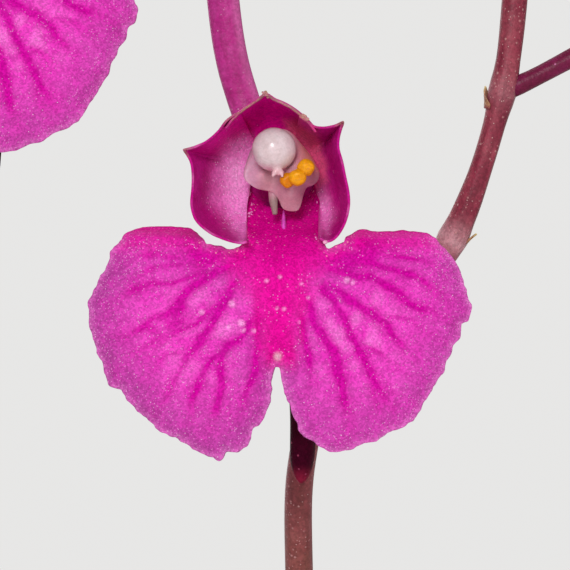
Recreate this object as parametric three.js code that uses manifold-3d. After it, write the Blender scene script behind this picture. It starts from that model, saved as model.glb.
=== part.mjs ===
// A potted Comparettia falcata: a small orchid in a clay pot of bark, with two arching flower stems.
// Millimetres, +Z up. The origin is the middle of the pot's foot. The front of the plant faces -Y.

import * as THREE from "three";
import { mergeVertices } from "three/addons/utils/BufferGeometryUtils.js";
import Module from "manifold-3d";

const wasm = await Module();
wasm.setup();

// Driving dimensions

const GAP = 0.35; // clearance left between pieces that touch
const BLADE = 0.6; // thickness of petals
const SHEATH = 0.7; // thickness of the dry sheaths
const FACETS = { pot: 32, plug: 20, bulb: 8, stem: 6, root: 4 };

const POT = {
  height: 76,
  footRadius: 30,
  rimRadius: 45,
  collarHeight: 17,
  collarStep: 2.6, // how far the collar stands out of the body
  wall: 4.2,
  floor: 6,
  holeRadius: 4.5,
  holeRing: 16,
  holes: 4,
};

const BARK = { top: 66, dome: 3, chips: 17, chipLong: 16, chipThick: 6.5, seed: 7 };

const BULB = { height: 29, width: 11, depth: 8, sunk: 4, holeRoom: 3.3 };

const LEAF = { thick: 1.3, fold: 0.2, stalkWidth: 4.6, blade: 27 };

const ROOT = { radius: 1.1, tip: 0.6, rhizome: 2 };

const STEM = { foot: 1.05, tip: 0.5 };

// The flower, in its own frame: x to the viewer's right, z up, y away from the viewer.
// Its origin is the middle of the lip's claw.
const FLOWER = {
  lipCentre: [0, -2.5],
  lipForward: -0.9, // how far the lip's middle stands towards the viewer
  lipRoll: 1.7, // how far its side lobes roll back
  clawBack: 5.2, // how far the claw runs back into the hood
  cupBack: 3.6, // depth of the back of the hood
  cupFront: -1.2, // depth of the hood's rim
  tipOut: 0.7, // how far the tips of petals and sepal stand out of the rim
  sepalOut: 0.35, // how far the sepal lies outside the petals
  receptacle: { centre: [0, 4.1, 4.2], size: [2.2, 1.1, 2.1] },
  spurMouth: 1.25,
  spurTip: 0.62,
  ovary: 0.86,
  pedicelFoot: 0.5,
};

// Flower shapes, in the flower's own frame

// Lip outline, from the end of the claw round the left lobe, the notch and the right lobe
const NOTCH = [0, -5.9];
const LIP_OUTLINE = [
  [-0.9, 3.1], [-1.3, 0.7], [-3.3, 0.3], [-4.6, 0.95], [-6.6, 1.1], [-8.8, 0], [-10, -2.9], [-9.1, -6.6],
  [-6.7, -9], [-3.1, -10.95], [-1.3, -9.6], [-0.42, -7.3], NOTCH, [0.55, -7.7], [1.35, -9.75], [2.8, -10.5],
  [5.6, -9.8], [7.85, -7.8], [9.3, -5.1], [10.05, -3], [9.15, -0.25], [7.4, 0.8], [4.6, 0.9], [2.6, -0.1],
  [1.3, 0.6], [0.9, 3.1],
];

// Way of the spur, from the receptacle to its tip
const SPUR = [[0, 4.2, 3], [0.4, 5.4, 0.6], [1.15, 6.5, -3.5], [1.35, 7.1, -8.5], [1.25, 7.4, -12.5]];

// Hood: each organ runs from a root line at the back to its rim, and swells outwards on the way
const HOOD = {
  petalLeft: {
    root: [[-1.5, 3.3], [-1.2, 5.0]],
    rim: [
      [-1.85, 0.45], [-2.95, 0.75], [-3.95, 1.45], [-4.42, 2.4], [-4.5, 3.7], [-4.78, 5.2], [-3.7, 5.72],
      [-3.0, 6.3],
    ],
    tip: 5,
  },
  petalRight: {
    root: [[1.2, 5.0], [1.5, 3.3]],
    rim: [
      [1.9, 6.45], [2.5, 6.4], [3.3, 6.65], [3.1, 5.75], [3.25, 4.4], [3.58, 3.1], [3.72, 2.2], [3.5, 1.3],
      [2.98, 0.6], [2.25, 0.45],
    ],
    tip: 2,
  },
  sepal: {
    root: [[-0.6, 5.6], [0.6, 5.6]],
    rim: [[-2.3, 7.15], [-1.75, 7.65], [-1.1, 7.95], [-0.65, 8.15], [-0.1, 7.85], [0.9, 7.3], [1.2, 7.15]],
    tip: 3,
  },
};

// Column: the pale body in the hood, with two wings, a stigma lobe below and the anther cap in front
const COLUMN = [
  { centre: [-0.1, 1.1, 4.6], size: [1.7, 1.3, 1.5] },
  { centre: [0.95, 0.3, 4.0], size: [1.15, 0.9, 1.1] },
  { centre: [0.75, 0.8, 3.1], size: [0.6, 0.7, 0.8] },
  { centre: [-0.95, 0.6, 3.9], size: [0.85, 0.8, 0.85] },
];
const ANTHER = { centre: [-0.21, -0.55, 5.29], size: [1.16, 1.16, 1.16] };
const POLLINIA = [
  { centre: [1.46, -0.95, 4.29], size: [0.42, 0.42, 0.42] },
  { centre: [1.04, -1.05, 3.81], size: [0.42, 0.42, 0.42] },
  { centre: [0.52, -0.85, 3.6], size: [0.36, 0.36, 0.36] },
];

// The plant, in the part's frame

// Pseudobulbs, with the leaf each carries: place of the foot, the way the leaf points, its length
// and how steeply it starts and ends
const SHOOTS = [
  { foot: [-27, 12], lean: [-5, 2], points: 158, length: 92, rise: [66, 2], scale: 0.95 },
  { foot: [-12, 18], lean: [-1, 3], points: 112, length: 98, rise: [74, 14], scale: 1.05 },
  { foot: [4, 16], lean: [2, 3], points: 58, length: 90, rise: [70, 6], scale: 1 },
  { foot: [19, 9], lean: [4, 1], points: 12, length: 96, rise: [64, -4], scale: 1.05 },
  { foot: [-21, -7], lean: [-4, -2], points: 214, length: 84, rise: [62, 0], scale: 0.9 },
  { foot: [20, -11], lean: [3, -2], points: 322, length: 78, rise: [58, -8], scale: 0.85 },
];

// The shoots stand along the rhizome in this order
const RHIZOME_ORDER = [4, 0, 1, 2, 3, 5];

// Each root: the shoot below which it starts, and its way over the bark
const ROOTS = [
  { shoot: 0, way: [[-33.5, 8, 60], [-34, 0, 68], [-33, -8, 69.5], [-30, -17, 68.5], [-24, -25, 60]] },
  { shoot: 1, way: [[-13, 9.5, 60], [-12, 3, 70], [-9, -5, 74], [-9, -15, 72.5], [-4, -25, 70], [2, -31, 60]] },
  {
    shoot: 3,
    way: [
      [26, 5, 60], [30, 1, 70], [34.5, -2, 75.5], [39, -5, 78.3], [43.5, -7, 79], [47.4, -9, 77],
      [48.4, -10, 70], [47, -9, 54],
    ],
  },
];

// Flower stems: points on their way from the bark to the tip
const STEMS = {
  left: [
    [-15, 2, 58], [-17, 2, 72], [-23, 3, 105], [-34, -1, 152], [-43, -13, 198], [-41.5, -31, 225],
    [-30, -47, 235.5], [-14.7, -57, 230], [-0.6, -60, 220.4], [7, -62, 216.5], [14, -64.5, 215.5],
  ],
  right: [
    [9, -3, 58], [9, -5, 72], [7, -14, 105], [5.4, -28, 142], [5.2, -41.5, 171], [5.3, -46.5, 179.3],
    [6.6, -49.4, 183.6], [10.2, -50.8, 187], [13.4, -53.1, 191.2], [16.1, -54.6, 199.1], [17.2, -55, 208],
    [19.5, -52.5, 220], [26, -47, 232], [38, -40, 240], [53, -33, 241.5], [66, -27, 236], [74, -23, 229],
  ],
};

// Each flower: the stem that bears it, how far along the stem its stalk leaves (as a share of the stem's
// length), its origin, the way it faces (0 is the front, 90 the right), its nod and its scale
const FLOWERS = [
  { name: "a1", stem: "left", share: 0.54, origin: [-58, 2, 176], turn: -104, nod: 8, size: 0.98 },
  { name: "a2", stem: "left", share: 0.654, origin: [-60, -34, 203], turn: -62, nod: 6, size: 1 },
  { name: "a3", stem: "left", share: 0.791, origin: [-40, -58, 209], turn: -30, nod: 5, size: 1 },
  { name: "a4", stem: "left", share: 0.867, origin: [-13.7, -59, 206], turn: -4, nod: 5, size: 1 },
  { name: "main", stem: "left", share: 0.936, origin: [4, -62, 190], turn: 0, nod: 4, size: 1 },
  { name: "b1", stem: "right", share: 0.617, origin: [37, -54, 187], turn: 55, nod: 6, size: 1 },
  { name: "b2", stem: "right", share: 0.703, origin: [38, -62, 212], turn: 24, nod: 4, size: 0.98 },
  { name: "b3", stem: "right", share: 0.791, origin: [44, -22, 222], turn: 140, nod: 8, size: 0.95 },
  { name: "b4", stem: "right", share: 0.858, origin: [60, -50, 224], turn: 40, nod: 5, size: 0.92 },
];

// Each bud: its stem, how far along it the bud's stalk leaves, and the bud's tip
const BUDS = [
  { name: "bud_a1", stem: "left", share: 0.965, tip: [10.5, -66, 210] },
  { name: "bud_a2", stem: "left", share: 0.985, tip: [17.5, -59.5, 210.5] },
  { name: "bud_a3", stem: "left", share: 1, tip: [20, -67.5, 214] },
  { name: "bud_b1", stem: "right", share: 0.954, tip: [73.5, -33, 229.5] },
  { name: "bud_b2", stem: "right", share: 1, tip: [79, -19, 222.5] },
];

// Small tools: seeded numbers, points and smooth steps

function seeded(seed) {
  let state = seed;
  return () => {
    state = (state * 1664525 + 1013904223) % 4294967296;
    return state / 4294967296;
  };
}

const at = (p) => new THREE.Vector3(...p);
const degrees = (a) => (a * Math.PI) / 180;
const mix = (a, b, t) => a + (b - a) * t;

function smooth(from, to, x) {
  const t = Math.min(1, Math.max(0, (x - from) / (to - from)));
  return t * t * (3 - 2 * t);
}

const throughPoints = (points, closed = false) =>
  new THREE.CatmullRomCurve3(points.map(at), closed, "centripetal");

// Solids: geometries made closed bodies, joined and cut

function solid(geometry) {
  const bare = geometry.clone();
  bare.deleteAttribute("normal");
  bare.deleteAttribute("uv");
  const merged = mergeVertices(bare, 1e-4);
  const body = new wasm.Manifold(
    new wasm.Mesh({
      numProp: 3,
      vertProperties: new Float32Array(merged.attributes.position.array),
      triVerts: new Uint32Array(merged.index.array),
    }),
  );
  if (body.volume() <= 0) throw new Error("a shape is inside out");
  return body;
}

const join = (bodies) => bodies.reduce((all, body) => all.add(body));
const cut = (body, tools) => tools.reduce((left, tool) => left.subtract(tool), body);

// The largest body of a solid, without the loose scraps that a cut can leave.
const largest = (body) =>
  body.decompose().reduce((a, b) => (b.volume() > a.volume() ? b : a));

function geometryOf(body) {
  const mesh = body.getMesh();
  const geometry = new THREE.BufferGeometry();
  geometry.setAttribute("position", new THREE.BufferAttribute(mesh.vertProperties, 3));
  geometry.setIndex(new THREE.BufferAttribute(mesh.triVerts, 1));
  geometry.computeVertexNormals();
  return geometry;
}

// A blade from a grid: place(u, v, side) gives a point for u and v from 0 to 1, on the upper side (+1)
// or the lower side (-1). Both sides are split into triangles alike.
function blade(across, along, place) {
  const points = [];
  const faces = [];
  const number = (i, j, lower) => (lower * (along + 1) + j) * (across + 1) + i;
  for (const side of [1, -1]) {
    for (let j = 0; j <= along; j++) {
      for (let i = 0; i <= across; i++) points.push(...place(i / across, j / along, side));
    }
  }
  for (let j = 0; j < along; j++) {
    for (let i = 0; i < across; i++) {
      for (const [lower, [a, b, c]] of [[0, [0, 1, 2]], [1, [0, 2, 1]]]) {
        const corner = [
          number(i, j, lower),
          number(i + 1, j, lower),
          number(i + 1, j + 1, lower),
          number(i, j + 1, lower),
        ];
        faces.push(corner[a], corner[b], corner[c]);
        const other = [corner[0], corner[2], corner[3]];
        faces.push(other[a], other[b], other[c]);
      }
    }
  }
  const rim = [];
  for (let i = 0; i < across; i++) rim.push([i, 0]);
  for (let j = 0; j < along; j++) rim.push([across, j]);
  for (let i = across; i > 0; i--) rim.push([i, along]);
  for (let j = along; j > 0; j--) rim.push([0, j]);
  rim.forEach(([i, j], k) => {
    const [m, n] = rim[(k + 1) % rim.length];
    const [a, b, c, d] = [number(i, j, 0), number(m, n, 0), number(m, n, 1), number(i, j, 1)];
    faces.push(a, d, c, a, c, b);
  });
  const geometry = new THREE.BufferGeometry();
  geometry.setAttribute("position", new THREE.Float32BufferAttribute(points, 3));
  geometry.setIndex(faces);
  return geometry;
}

// A blade about its middle surface: surface(u, v) gives a Vector3, and the normal comes from its slopes.
function bladeAbout(across, along, thick, surface) {
  const step = 1e-3;
  return blade(across, along, (u, v, side) => {
    const [u0, u1] = [Math.max(0, u - step), Math.min(1, u + step)];
    const [v0, v1] = [Math.max(0, v - step), Math.min(1, v + step)];
    const du = surface(u1, v).sub(surface(u0, v));
    const dv = surface(u, v1).sub(surface(u, v0));
    const normal = du.cross(dv).normalize();
    return surface(u, v).addScaledVector(normal, (side * thick) / 2).toArray();
  });
}

// A round stem along a curve: a lathe profile of the given radius, bent to the curve. It runs past both
// ends of the curve by overrun.
function sweep(curve, radiusAt, sides, steps, overrun = 0) {
  const profile = [new THREE.Vector2(0, 0)];
  for (let i = 0; i <= steps; i++) profile.push(new THREE.Vector2(radiusAt(i / steps), i / steps));
  profile.push(new THREE.Vector2(0, 1));
  const lathe = new THREE.LatheGeometry(profile, sides);
  const { normals, binormals } = curve.computeFrenetFrames(steps);
  const position = lathe.attributes.position;
  for (let i = 0; i < position.count; i++) {
    const [x, t, z] = [position.getX(i), position.getY(i), position.getZ(i)];
    const k = Math.round(t * steps);
    const p = curve.getPointAt(k / steps);
    p.addScaledVector(normals[k], z).addScaledVector(binormals[k], x);
    if (k === 0) p.addScaledVector(curve.getTangentAt(0), -overrun);
    if (k === steps) p.addScaledVector(curve.getTangentAt(1), overrun);
    position.setXYZ(i, ...p.toArray());
  }
  return lathe;
}

// Pot

function pot() {
  const { height, footRadius, rimRadius, collarHeight, collarStep, wall, floor } = POT;
  const under = height - collarHeight;
  const neck = rimRadius - collarStep;
  const outline = [
    [0, 0],
    [footRadius - 1.5, 0],
    [footRadius, 1.5],
    [neck - 1, under],
    [rimRadius - 1, under],
    [rimRadius, under + 1.2],
    [rimRadius + 0.6, height - 1.4],
    [rimRadius - 0.6, height],
    [neck - wall + 1.8, height],
    [neck - wall, height - 1.6],
    [neck - wall - 1, under],
    [footRadius - wall + 1, floor],
    [0, floor],
  ];
  const profile = outline.map(([r, z]) => new THREE.Vector2(r, z));
  const body = new THREE.LatheGeometry(profile, FACETS.pot).rotateX(Math.PI / 2);
  const holes = [];
  for (let i = 0; i < POT.holes; i++) {
    const angle = degrees(45 + (360 / POT.holes) * i);
    const hole = new THREE.CylinderGeometry(POT.holeRadius, POT.holeRadius, 3 * floor, 12);
    hole.rotateX(Math.PI / 2);
    hole.translate(POT.holeRing * Math.cos(angle), POT.holeRing * Math.sin(angle), floor / 2);
    holes.push(solid(hole));
  }
  return cut(solid(body), holes);
}

// Inside radius of the pot at a height
function insideRadius(z) {
  const under = POT.height - POT.collarHeight;
  const neck = POT.rimRadius - POT.collarStep - POT.wall;
  const t = (z - POT.floor) / (under - POT.floor);
  return t < 1 ? mix(POT.footRadius - POT.wall + 1, neck - 1, t) : neck - 1;
}

// Bark: a plug that fills the pot, with chips standing out of its top

function chip(long, random) {
  const wide = long * mix(0.5, 0.8, random());
  const thick = BARK.chipThick * mix(0.6, 1, random());
  const shape = new THREE.BoxGeometry(long, wide, thick);
  const position = shape.attributes.position;
  const skew = Array.from({ length: 6 }, () => mix(-0.12, 0.12, random()));
  for (let i = 0; i < position.count; i++) {
    const [x, y, z] = [position.getX(i), position.getY(i), position.getZ(i)];
    const px = x * (1 + skew[0] * Math.sign(y) + skew[1] * Math.sign(z));
    const py = y * (1 + skew[2] * Math.sign(x) + skew[3] * Math.sign(z));
    const pz = z * (1 + skew[4] * Math.sign(x) + skew[5] * Math.sign(y));
    position.setXYZ(i, px, py, pz);
  }
  const tilt = new THREE.Euler(mix(-0.5, 0.5, random()), mix(-0.5, 0.5, random()), random() * 6.3);
  return shape.applyMatrix4(new THREE.Matrix4().makeRotationFromEuler(tilt));
}

function bark(holes) {
  const random = seeded(BARK.seed);
  const clear = (z) => insideRadius(z) - 0.5;
  const bottom = POT.floor + GAP;
  const under = POT.height - POT.collarHeight;
  const outline = [
    [0, bottom],
    [clear(bottom), bottom],
    [clear(under), under],
    [clear(under), BARK.top - 1],
    [clear(under) * 0.6, BARK.top + BARK.dome * 0.6],
    [0, BARK.top + BARK.dome],
  ];
  const plug = new THREE.LatheGeometry(outline.map(([r, z]) => new THREE.Vector2(r, z)), FACETS.plug);
  const chips = [];
  const goldenTurn = degrees(137.5);
  for (let i = 0; i < BARK.chips; i++) {
    const share = Math.sqrt((i + 0.5) / BARK.chips);
    const long = BARK.chipLong * mix(0.6, 1, random());
    const radius = share * (clear(under) - 0.75 * long);
    const angle = goldenTurn * i + 0.5 * random();
    const shape = chip(long, random);
    const height = BARK.top + BARK.dome * (1 - share * share) + mix(-0.5, 1.6, random());
    shape.translate(radius * Math.cos(angle), radius * Math.sin(angle), height);
    chips.push(solid(shape));
  }
  return largest(cut(join([solid(plug.rotateX(Math.PI / 2)), ...chips]), holes));
}

// Pseudobulbs, each with its leaf and its dry sheath

const bulbFoot = BARK.top - BULB.sunk;

// Radius profile of a pseudobulb from foot to crown, as a share of its half width
const bulbProfile = (t) => Math.max(0.16, Math.sin(Math.PI * mix(0.16, 0.97, t ** 0.9)) ** 0.75);

function bulb({ foot, lean, points, scale }) {
  const rings = 7;
  const height = BULB.height * scale;
  const profile = [new THREE.Vector2(0, 0)];
  for (let i = 0; i <= rings; i++) {
    const t = i / rings;
    profile.push(new THREE.Vector2(bulbProfile(t), t * height));
  }
  profile.push(new THREE.Vector2(0, height));
  const shape = new THREE.LatheGeometry(profile, FACETS.bulb).rotateX(Math.PI / 2);
  const turn = degrees(points + 90);
  const position = shape.attributes.position;
  for (let i = 0; i < position.count; i++) {
    const t = position.getZ(i) / height;
    const x = (position.getX(i) * BULB.width * scale) / 2;
    const y = (position.getY(i) * BULB.depth * scale) / 2;
    position.setXYZ(
      i,
      foot[0] + lean[0] * t + x * Math.cos(turn) - y * Math.sin(turn),
      foot[1] + lean[1] * t + x * Math.sin(turn) + y * Math.cos(turn),
      bulbFoot + position.getZ(i),
    );
  }
  return solid(shape);
}

// The plain hole in the bark that a pseudobulb stands in
function bulbHole({ foot, lean, points, scale }) {
  const height = BULB.height;
  const hole = new THREE.CylinderGeometry(1, 1, height, FACETS.bulb).rotateX(Math.PI / 2);
  hole.scale((BULB.width * scale) / 2 + BULB.holeRoom, (BULB.depth * scale) / 2 + BULB.holeRoom, 1);
  hole.rotateZ(degrees(points + 90));
  hole.translate(foot[0] + 0.2 * lean[0], foot[1] + 0.2 * lean[1], bulbFoot - GAP + height / 2);
  return solid(hole);
}

// Outline of a leaf: half its width along its length, as a share of the widest
function leafWidth(t) {
  const body = Math.sin(Math.PI * Math.min(1, 0.04 + 0.96 * t ** 0.82)) ** 0.8;
  return Math.max(body * smooth(0, 0.3, t + 0.06), 0.05);
}

function leaf({ foot, lean, points, length, rise, scale }) {
  const heading = new THREE.Vector3(Math.cos(degrees(points)), Math.sin(degrees(points)), 0);
  const sideways = new THREE.Vector3(-heading.y, heading.x, 0);
  const crown = bulbFoot + BULB.height * scale + 2 * GAP;
  const steps = 12;
  const middle = [new THREE.Vector3(foot[0] + lean[0], foot[1] + lean[1], crown)];
  for (let i = 0; i < steps; i++) {
    const slope = degrees(mix(rise[0], rise[1], ((i + 0.5) / steps) ** 1.2));
    const last = middle[i].clone().addScaledVector(heading, (Math.cos(slope) * length) / steps);
    last.z += (Math.sin(slope) * length) / steps;
    middle.push(last);
  }
  const spine = new THREE.CatmullRomCurve3(middle);
  const wide = (LEAF.blade * scale) / 2;
  return solid(
    bladeAbout(4, 9, LEAF.thick, (u, v) => {
      const across = 2 * u - 1;
      const stalk = 0.5 + 0.4 * LEAF.stalkWidth * (1 - smooth(0.5, 1, v));
      const half = Math.max(wide * leafWidth(v), stalk);
      const tangent = spine.getTangentAt(v);
      const up = sideways.clone().cross(tangent).negate().normalize();
      const lift = LEAF.fold * half * Math.abs(across) * (1 + 1.6 * (1 - smooth(0, 0.35, v)));
      return spine
        .getPointAt(v)
        .addScaledVector(sideways, across * half)
        .addScaledVector(up, lift);
    }),
  );
}

// A dry sheath: the papery sleeve that wraps the lower part of a pseudobulb, open on one side
function sheath({ foot, lean, points, scale }) {
  const height = BULB.height * scale;
  const [low, high] = [(BULB.sunk + 1.5) / height, 0.62];
  return solid(
    bladeAbout(6, 2, SHEATH, (u, v) => {
      const t = mix(low, high * (1 - 0.55 * Math.abs(2 * u - 1) ** 2), v);
      const angle = mix(-130, 130, u);
      const flare = GAP + SHEATH / 2 + 0.25 + 0.9 * v ** 2;
      const round = (bulbProfile(t) * scale) / 2;
      const x = (BULB.width * round + flare) * Math.cos(degrees(angle));
      const y = (BULB.depth * round + flare) * Math.sin(degrees(angle));
      const turn = degrees(points + 90);
      return new THREE.Vector3(
        foot[0] + lean[0] * t + x * Math.cos(turn) - y * Math.sin(turn),
        foot[1] + lean[1] * t + x * Math.sin(turn) + y * Math.cos(turn),
        bulbFoot + t * height,
      );
    }),
  );
}

// Rhizome and roots: one body, half sunk in the bark
function rhizome(grown = 0) {
  const low = bulbFoot - ROOT.rhizome - 1;
  const below = (shoot) => [...SHOOTS[shoot].foot, low];
  const axis = throughPoints(RHIZOME_ORDER.map(below));
  const roots = ROOTS.map(({ shoot, way }) => {
    const thickness = (t) => mix(ROOT.radius, ROOT.tip, t) + grown;
    return solid(sweep(throughPoints([below(shoot), ...way]), thickness, FACETS.root, 2 * way.length, grown));
  });
  return join([solid(sweep(axis, () => ROOT.rhizome + grown, 6, 14, grown)), ...roots]);
}

// Flower stems

const stemCurve = (side) => throughPoints(STEMS[side]);
const stemRadius = (t) => mix(STEM.foot, STEM.tip, t);

// A bract: the small boat-shaped scale that clasps a stem below each flower stalk
function bract(curve, t) {
  const foot = curve.getPointAt(t);
  const way = curve.getTangentAt(t);
  const radius = stemRadius(t);
  const tip = foot.clone().addScaledVector(way, 3.2);
  const axis = new THREE.LineCurve3(foot.clone().addScaledVector(way, -0.6), tip);
  return solid(sweep(axis, (s) => mix(radius + 0.55, 0.25, s), 6, 2));
}

function stem(side, bracts) {
  const curve = stemCurve(side);
  const main = solid(sweep(curve, stemRadius, FACETS.stem, Math.round(2.4 * STEMS[side].length)));
  return join([main, ...bracts.map((t) => bract(curve, t))]);
}

const stemHole = (side) => {
  const curve = throughPoints(STEMS[side].slice(0, 3));
  return solid(sweep(curve, () => STEM.foot + 2 * GAP, FACETS.stem, 6, GAP));
};

// Flowers

// How far the lip stands away from the viewer at a place on it: its lobes roll back, and its claw runs
// back into the hood
function lipDepth(x, z) {
  const side = Math.min(1, Math.abs(x) / 10);
  const fan = Math.atan2(z + 1.5, Math.abs(x) + 0.4);
  const waves = 0.22 * side * Math.sin(5 * fan + 1.2);
  const claw = FLOWER.clawBack * smooth(-1.2, 3.4, z) * Math.exp(-((x / 2.2) ** 2));
  return FLOWER.lipForward + FLOWER.lipRoll * side ** 2 + waves + claw;
}

// The lip as rings of points about its middle, out to its outline, with the given number of rays
// between two points of the outline
function lip(raysPerPoint, rings) {
  const outline = throughPoints(LIP_OUTLINE.map(([x, z]) => [x, 0, z]), true);
  const rays = raysPerPoint * LIP_OUTLINE.length;
  const edge = Array.from({ length: rays }, (_, i) => outline.getPoint(i / rays));
  const [middleX, middleZ] = FLOWER.lipCentre;
  const points = [];
  for (const side of [-1, 1]) {
    points.push(middleX, lipDepth(middleX, middleZ) + (side * BLADE) / 2, middleZ);
    for (let j = 1; j <= rings; j++) {
      for (const p of edge) {
        const [x, z] = [mix(middleX, p.x, j / rings), mix(middleZ, p.z, j / rings)];
        points.push(x, lipDepth(x, z) + (side * BLADE) / 2, z);
      }
    }
  }
  const layer = 1 + rings * rays;
  const number = (j, i) => 1 + (j - 1) * rays + (i % rays);
  const faces = [];
  for (let i = 0; i < rays; i++) {
    faces.push(0, number(1, i), number(1, i + 1));
    faces.push(layer, layer + number(1, i + 1), layer + number(1, i));
    for (let j = 1; j < rings; j++) {
      const [a, b, c, d] = [number(j, i), number(j, i + 1), number(j + 1, i + 1), number(j + 1, i)];
      faces.push(a, c, b, a, d, c);
      const [e, f, g, h] = [a, b, c, d].map((n) => n + layer);
      faces.push(e, f, g, e, g, h);
    }
    const [a, b] = [number(rings, i), number(rings, i + 1)];
    faces.push(a, b + layer, b, a, a + layer, b + layer);
  }
  const geometry = new THREE.BufferGeometry();
  geometry.setAttribute("position", new THREE.Float32BufferAttribute(points, 3));
  geometry.setIndex(faces);
  return solid(geometry);
}

function hoodBlade(name, across, along) {
  const { root, rim, tip } = HOOD[name];
  const depth = (i) => FLOWER.cupFront - (i === tip ? FLOWER.tipOut : 0);
  const line = throughPoints(rim.map(([x, z], i) => [x, depth(i), z]));
  const outside = name === "sepal" ? FLOWER.sepalOut : 0;
  return solid(
    bladeAbout(across, along, BLADE, (u, v) => {
      const front = line.getPoint(u);
      const [backX, backZ] = [0, 1].map((k) => mix(root[0][k], root[1][k], u));
      const outwards = Math.sin((Math.PI / 2) * v);
      const forwards = 1 - Math.cos((Math.PI / 2) * v);
      return new THREE.Vector3(
        mix(backX, front.x, outwards),
        mix(FLOWER.cupBack, front.y, forwards) + outside * Math.sin(Math.PI * v),
        mix(backZ, front.z, outwards) + outside,
      );
    }),
  );
}

// Ears: the raised trough edges on both sides of the claw
function ears(across, along) {
  return solid(
    bladeAbout(across, along, BLADE, (u, v) => {
      const side = 2 * u - 1;
      const half = mix(2.0, 1.3, v);
      const ear = 1.1 * Math.abs(side) ** 3 * Math.sin(Math.PI * mix(0.1, 0.6, v));
      return new THREE.Vector3(side * half + 0.1, mix(0.3, 4.0, v) - ear * 0.9, mix(0.1, 3.0, v) + ear);
    }),
  );
}

// Synsepal: the two side sepals, grown into one boat behind the claw
function synsepal(across, along) {
  return solid(
    bladeAbout(across, along, BLADE, (u, v) => {
      const side = 2 * u - 1;
      const half = 2.2 * Math.sin(Math.PI * mix(0.42, 0.93, v)) ** 0.8;
      return new THREE.Vector3(side * half, 5.2 - 2.7 * v ** 2 - 1.0 * side * side, mix(4.2, -2.3, v));
    }),
  );
}

function spur(sides, steps) {
  const curve = throughPoints(SPUR);
  const blunt = (t) => (t > 0.9 ? Math.sqrt(Math.max(0.1, 1 - ((t - 0.9) / 0.105) ** 2)) : 1);
  const radius = (t) => mix(FLOWER.spurMouth, FLOWER.spurTip, t ** 0.8) * blunt(t);
  return solid(sweep(curve, radius, sides, steps));
}

function ellipsoid({ centre, size }, detail, grown = 0) {
  const sphere = new THREE.SphereGeometry(1, detail, Math.max(4, Math.round(detail * 0.7)));
  const [a, b, c] = size.map((radius) => radius + grown);
  return solid(sphere.scale(a, b, c).translate(...centre));
}

function placeFlower({ origin, turn, nod, size }) {
  const tilt = new THREE.Matrix4().makeRotationX(degrees(nod));
  const facing = new THREE.Matrix4().makeRotationZ(degrees(turn));
  return new THREE.Matrix4()
    .makeTranslation(...origin)
    .multiply(facing)
    .multiply(tilt)
    .multiply(new THREE.Matrix4().makeScale(size, size, size));
}

// The stalk and ovary of a flower, from the back of its hood to the stem, in the part's frame
function pedicel(flower, sides, steps) {
  const matrix = placeFlower(flower);
  const inFlower = (p) => at(p).applyMatrix4(matrix);
  const foot = stemCurve(flower.stem).getPointAt(flower.share);
  const above = inFlower([-2.6, 4.8, 11]);
  const middle = above.clone().lerp(foot, 0.5);
  middle.z += 0.22 * Math.hypot(foot.x - above.x, foot.y - above.y);
  const away = middle.clone().sub(foot).normalize();
  const slant = away.dot(stemCurve(flower.stem).getTangentAt(flower.share));
  const reach = stemRadius(flower.share) + 1.3 * GAP + FLOWER.pedicelFoot * Math.abs(slant);
  const end = foot.clone().addScaledVector(away, reach / Math.sqrt(1 - slant ** 2));
  const way = [inFlower([-0.5, 4.6, 4.4]), inFlower([-1.9, 5, 8.2]), above, middle, end];
  const radius = (t) => flower.size * mix(FLOWER.ovary, FLOWER.pedicelFoot, smooth(0.35, 0.95, t));
  return solid(sweep(new THREE.CatmullRomCurve3(way, false, "centripetal"), radius, sides, steps));
}

function perianth(flower) {
  const fine = flower.name === "main";
  const matrix = placeFlower(flower);
  const organs = [
    lip(fine ? 2 : 1, fine ? 3 : 2),
    hoodBlade("petalLeft", fine ? 8 : 4, fine ? 4 : 2),
    hoodBlade("petalRight", fine ? 8 : 4, fine ? 4 : 2),
    hoodBlade("sepal", fine ? 6 : 3, fine ? 3 : 2),
    spur(fine ? 8 : 5, fine ? 6 : 3),
    ellipsoid(FLOWER.receptacle, fine ? 8 : 5),
    ...(fine ? [ears(4, 3), synsepal(4, 3)] : []),
  ];
  const stalk = pedicel(flower, fine ? 8 : 5, fine ? 9 : 5);
  return join([...organs.map((organ) => organ.transform(matrix.elements)), stalk]);
}

function column(flower) {
  const fine = flower.name === "main";
  const lobes = COLUMN.slice(0, fine ? 4 : 2).map((lobe) => ellipsoid(lobe, fine ? 8 : 5));
  const place = placeFlower(flower).elements;
  if (!fine) return join([...lobes, ellipsoid(ANTHER, 5)]).transform(place);
  const sockets = [ANTHER, ...POLLINIA].map((each) => ellipsoid(each, 8, GAP));
  return largest(cut(join(lobes), sockets)).transform(place);
}

function bud(each) {
  const foot = stemCurve(each.stem).getPointAt(each.share);
  const tip = at(each.tip);
  const start = foot.clone().addScaledVector(tip.clone().sub(foot).normalize(), STEM.tip + 3 * GAP);
  const middle = start.clone().lerp(tip, 0.5);
  middle.z += 0.8;
  const curve = new THREE.CatmullRomCurve3([start, middle, tip]);
  const radius = (t) => 0.42 + 1.5 * Math.sin(Math.PI * smooth(0.38, 1.04, t)) ** 1.2;
  return solid(sweep(curve, radius, 6, 7));
}

// Materials and the part

const finish = (color, roughness) => new THREE.MeshStandardMaterial({ color, roughness, metalness: 0 });

const MATERIALS = {
  clay: finish(0xb5673f, 0.9),
  bark: finish(0x5d3a24, 0.95),
  root: finish(0xb9b39a, 0.8),
  bulb: finish(0x6f8f3f, 0.5),
  sheath: finish(0xb39a70, 0.8),
  leaf: finish(0x3f7a2c, 0.45),
  stem: finish(0x7d2f3c, 0.5),
  petal: finish(0xdc2aa5, 0.5),
  column: finish(0xe0bfc8, 0.35),
  pollen: finish(0xe88f0a, 0.4),
};

const plant = new THREE.Group();

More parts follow.
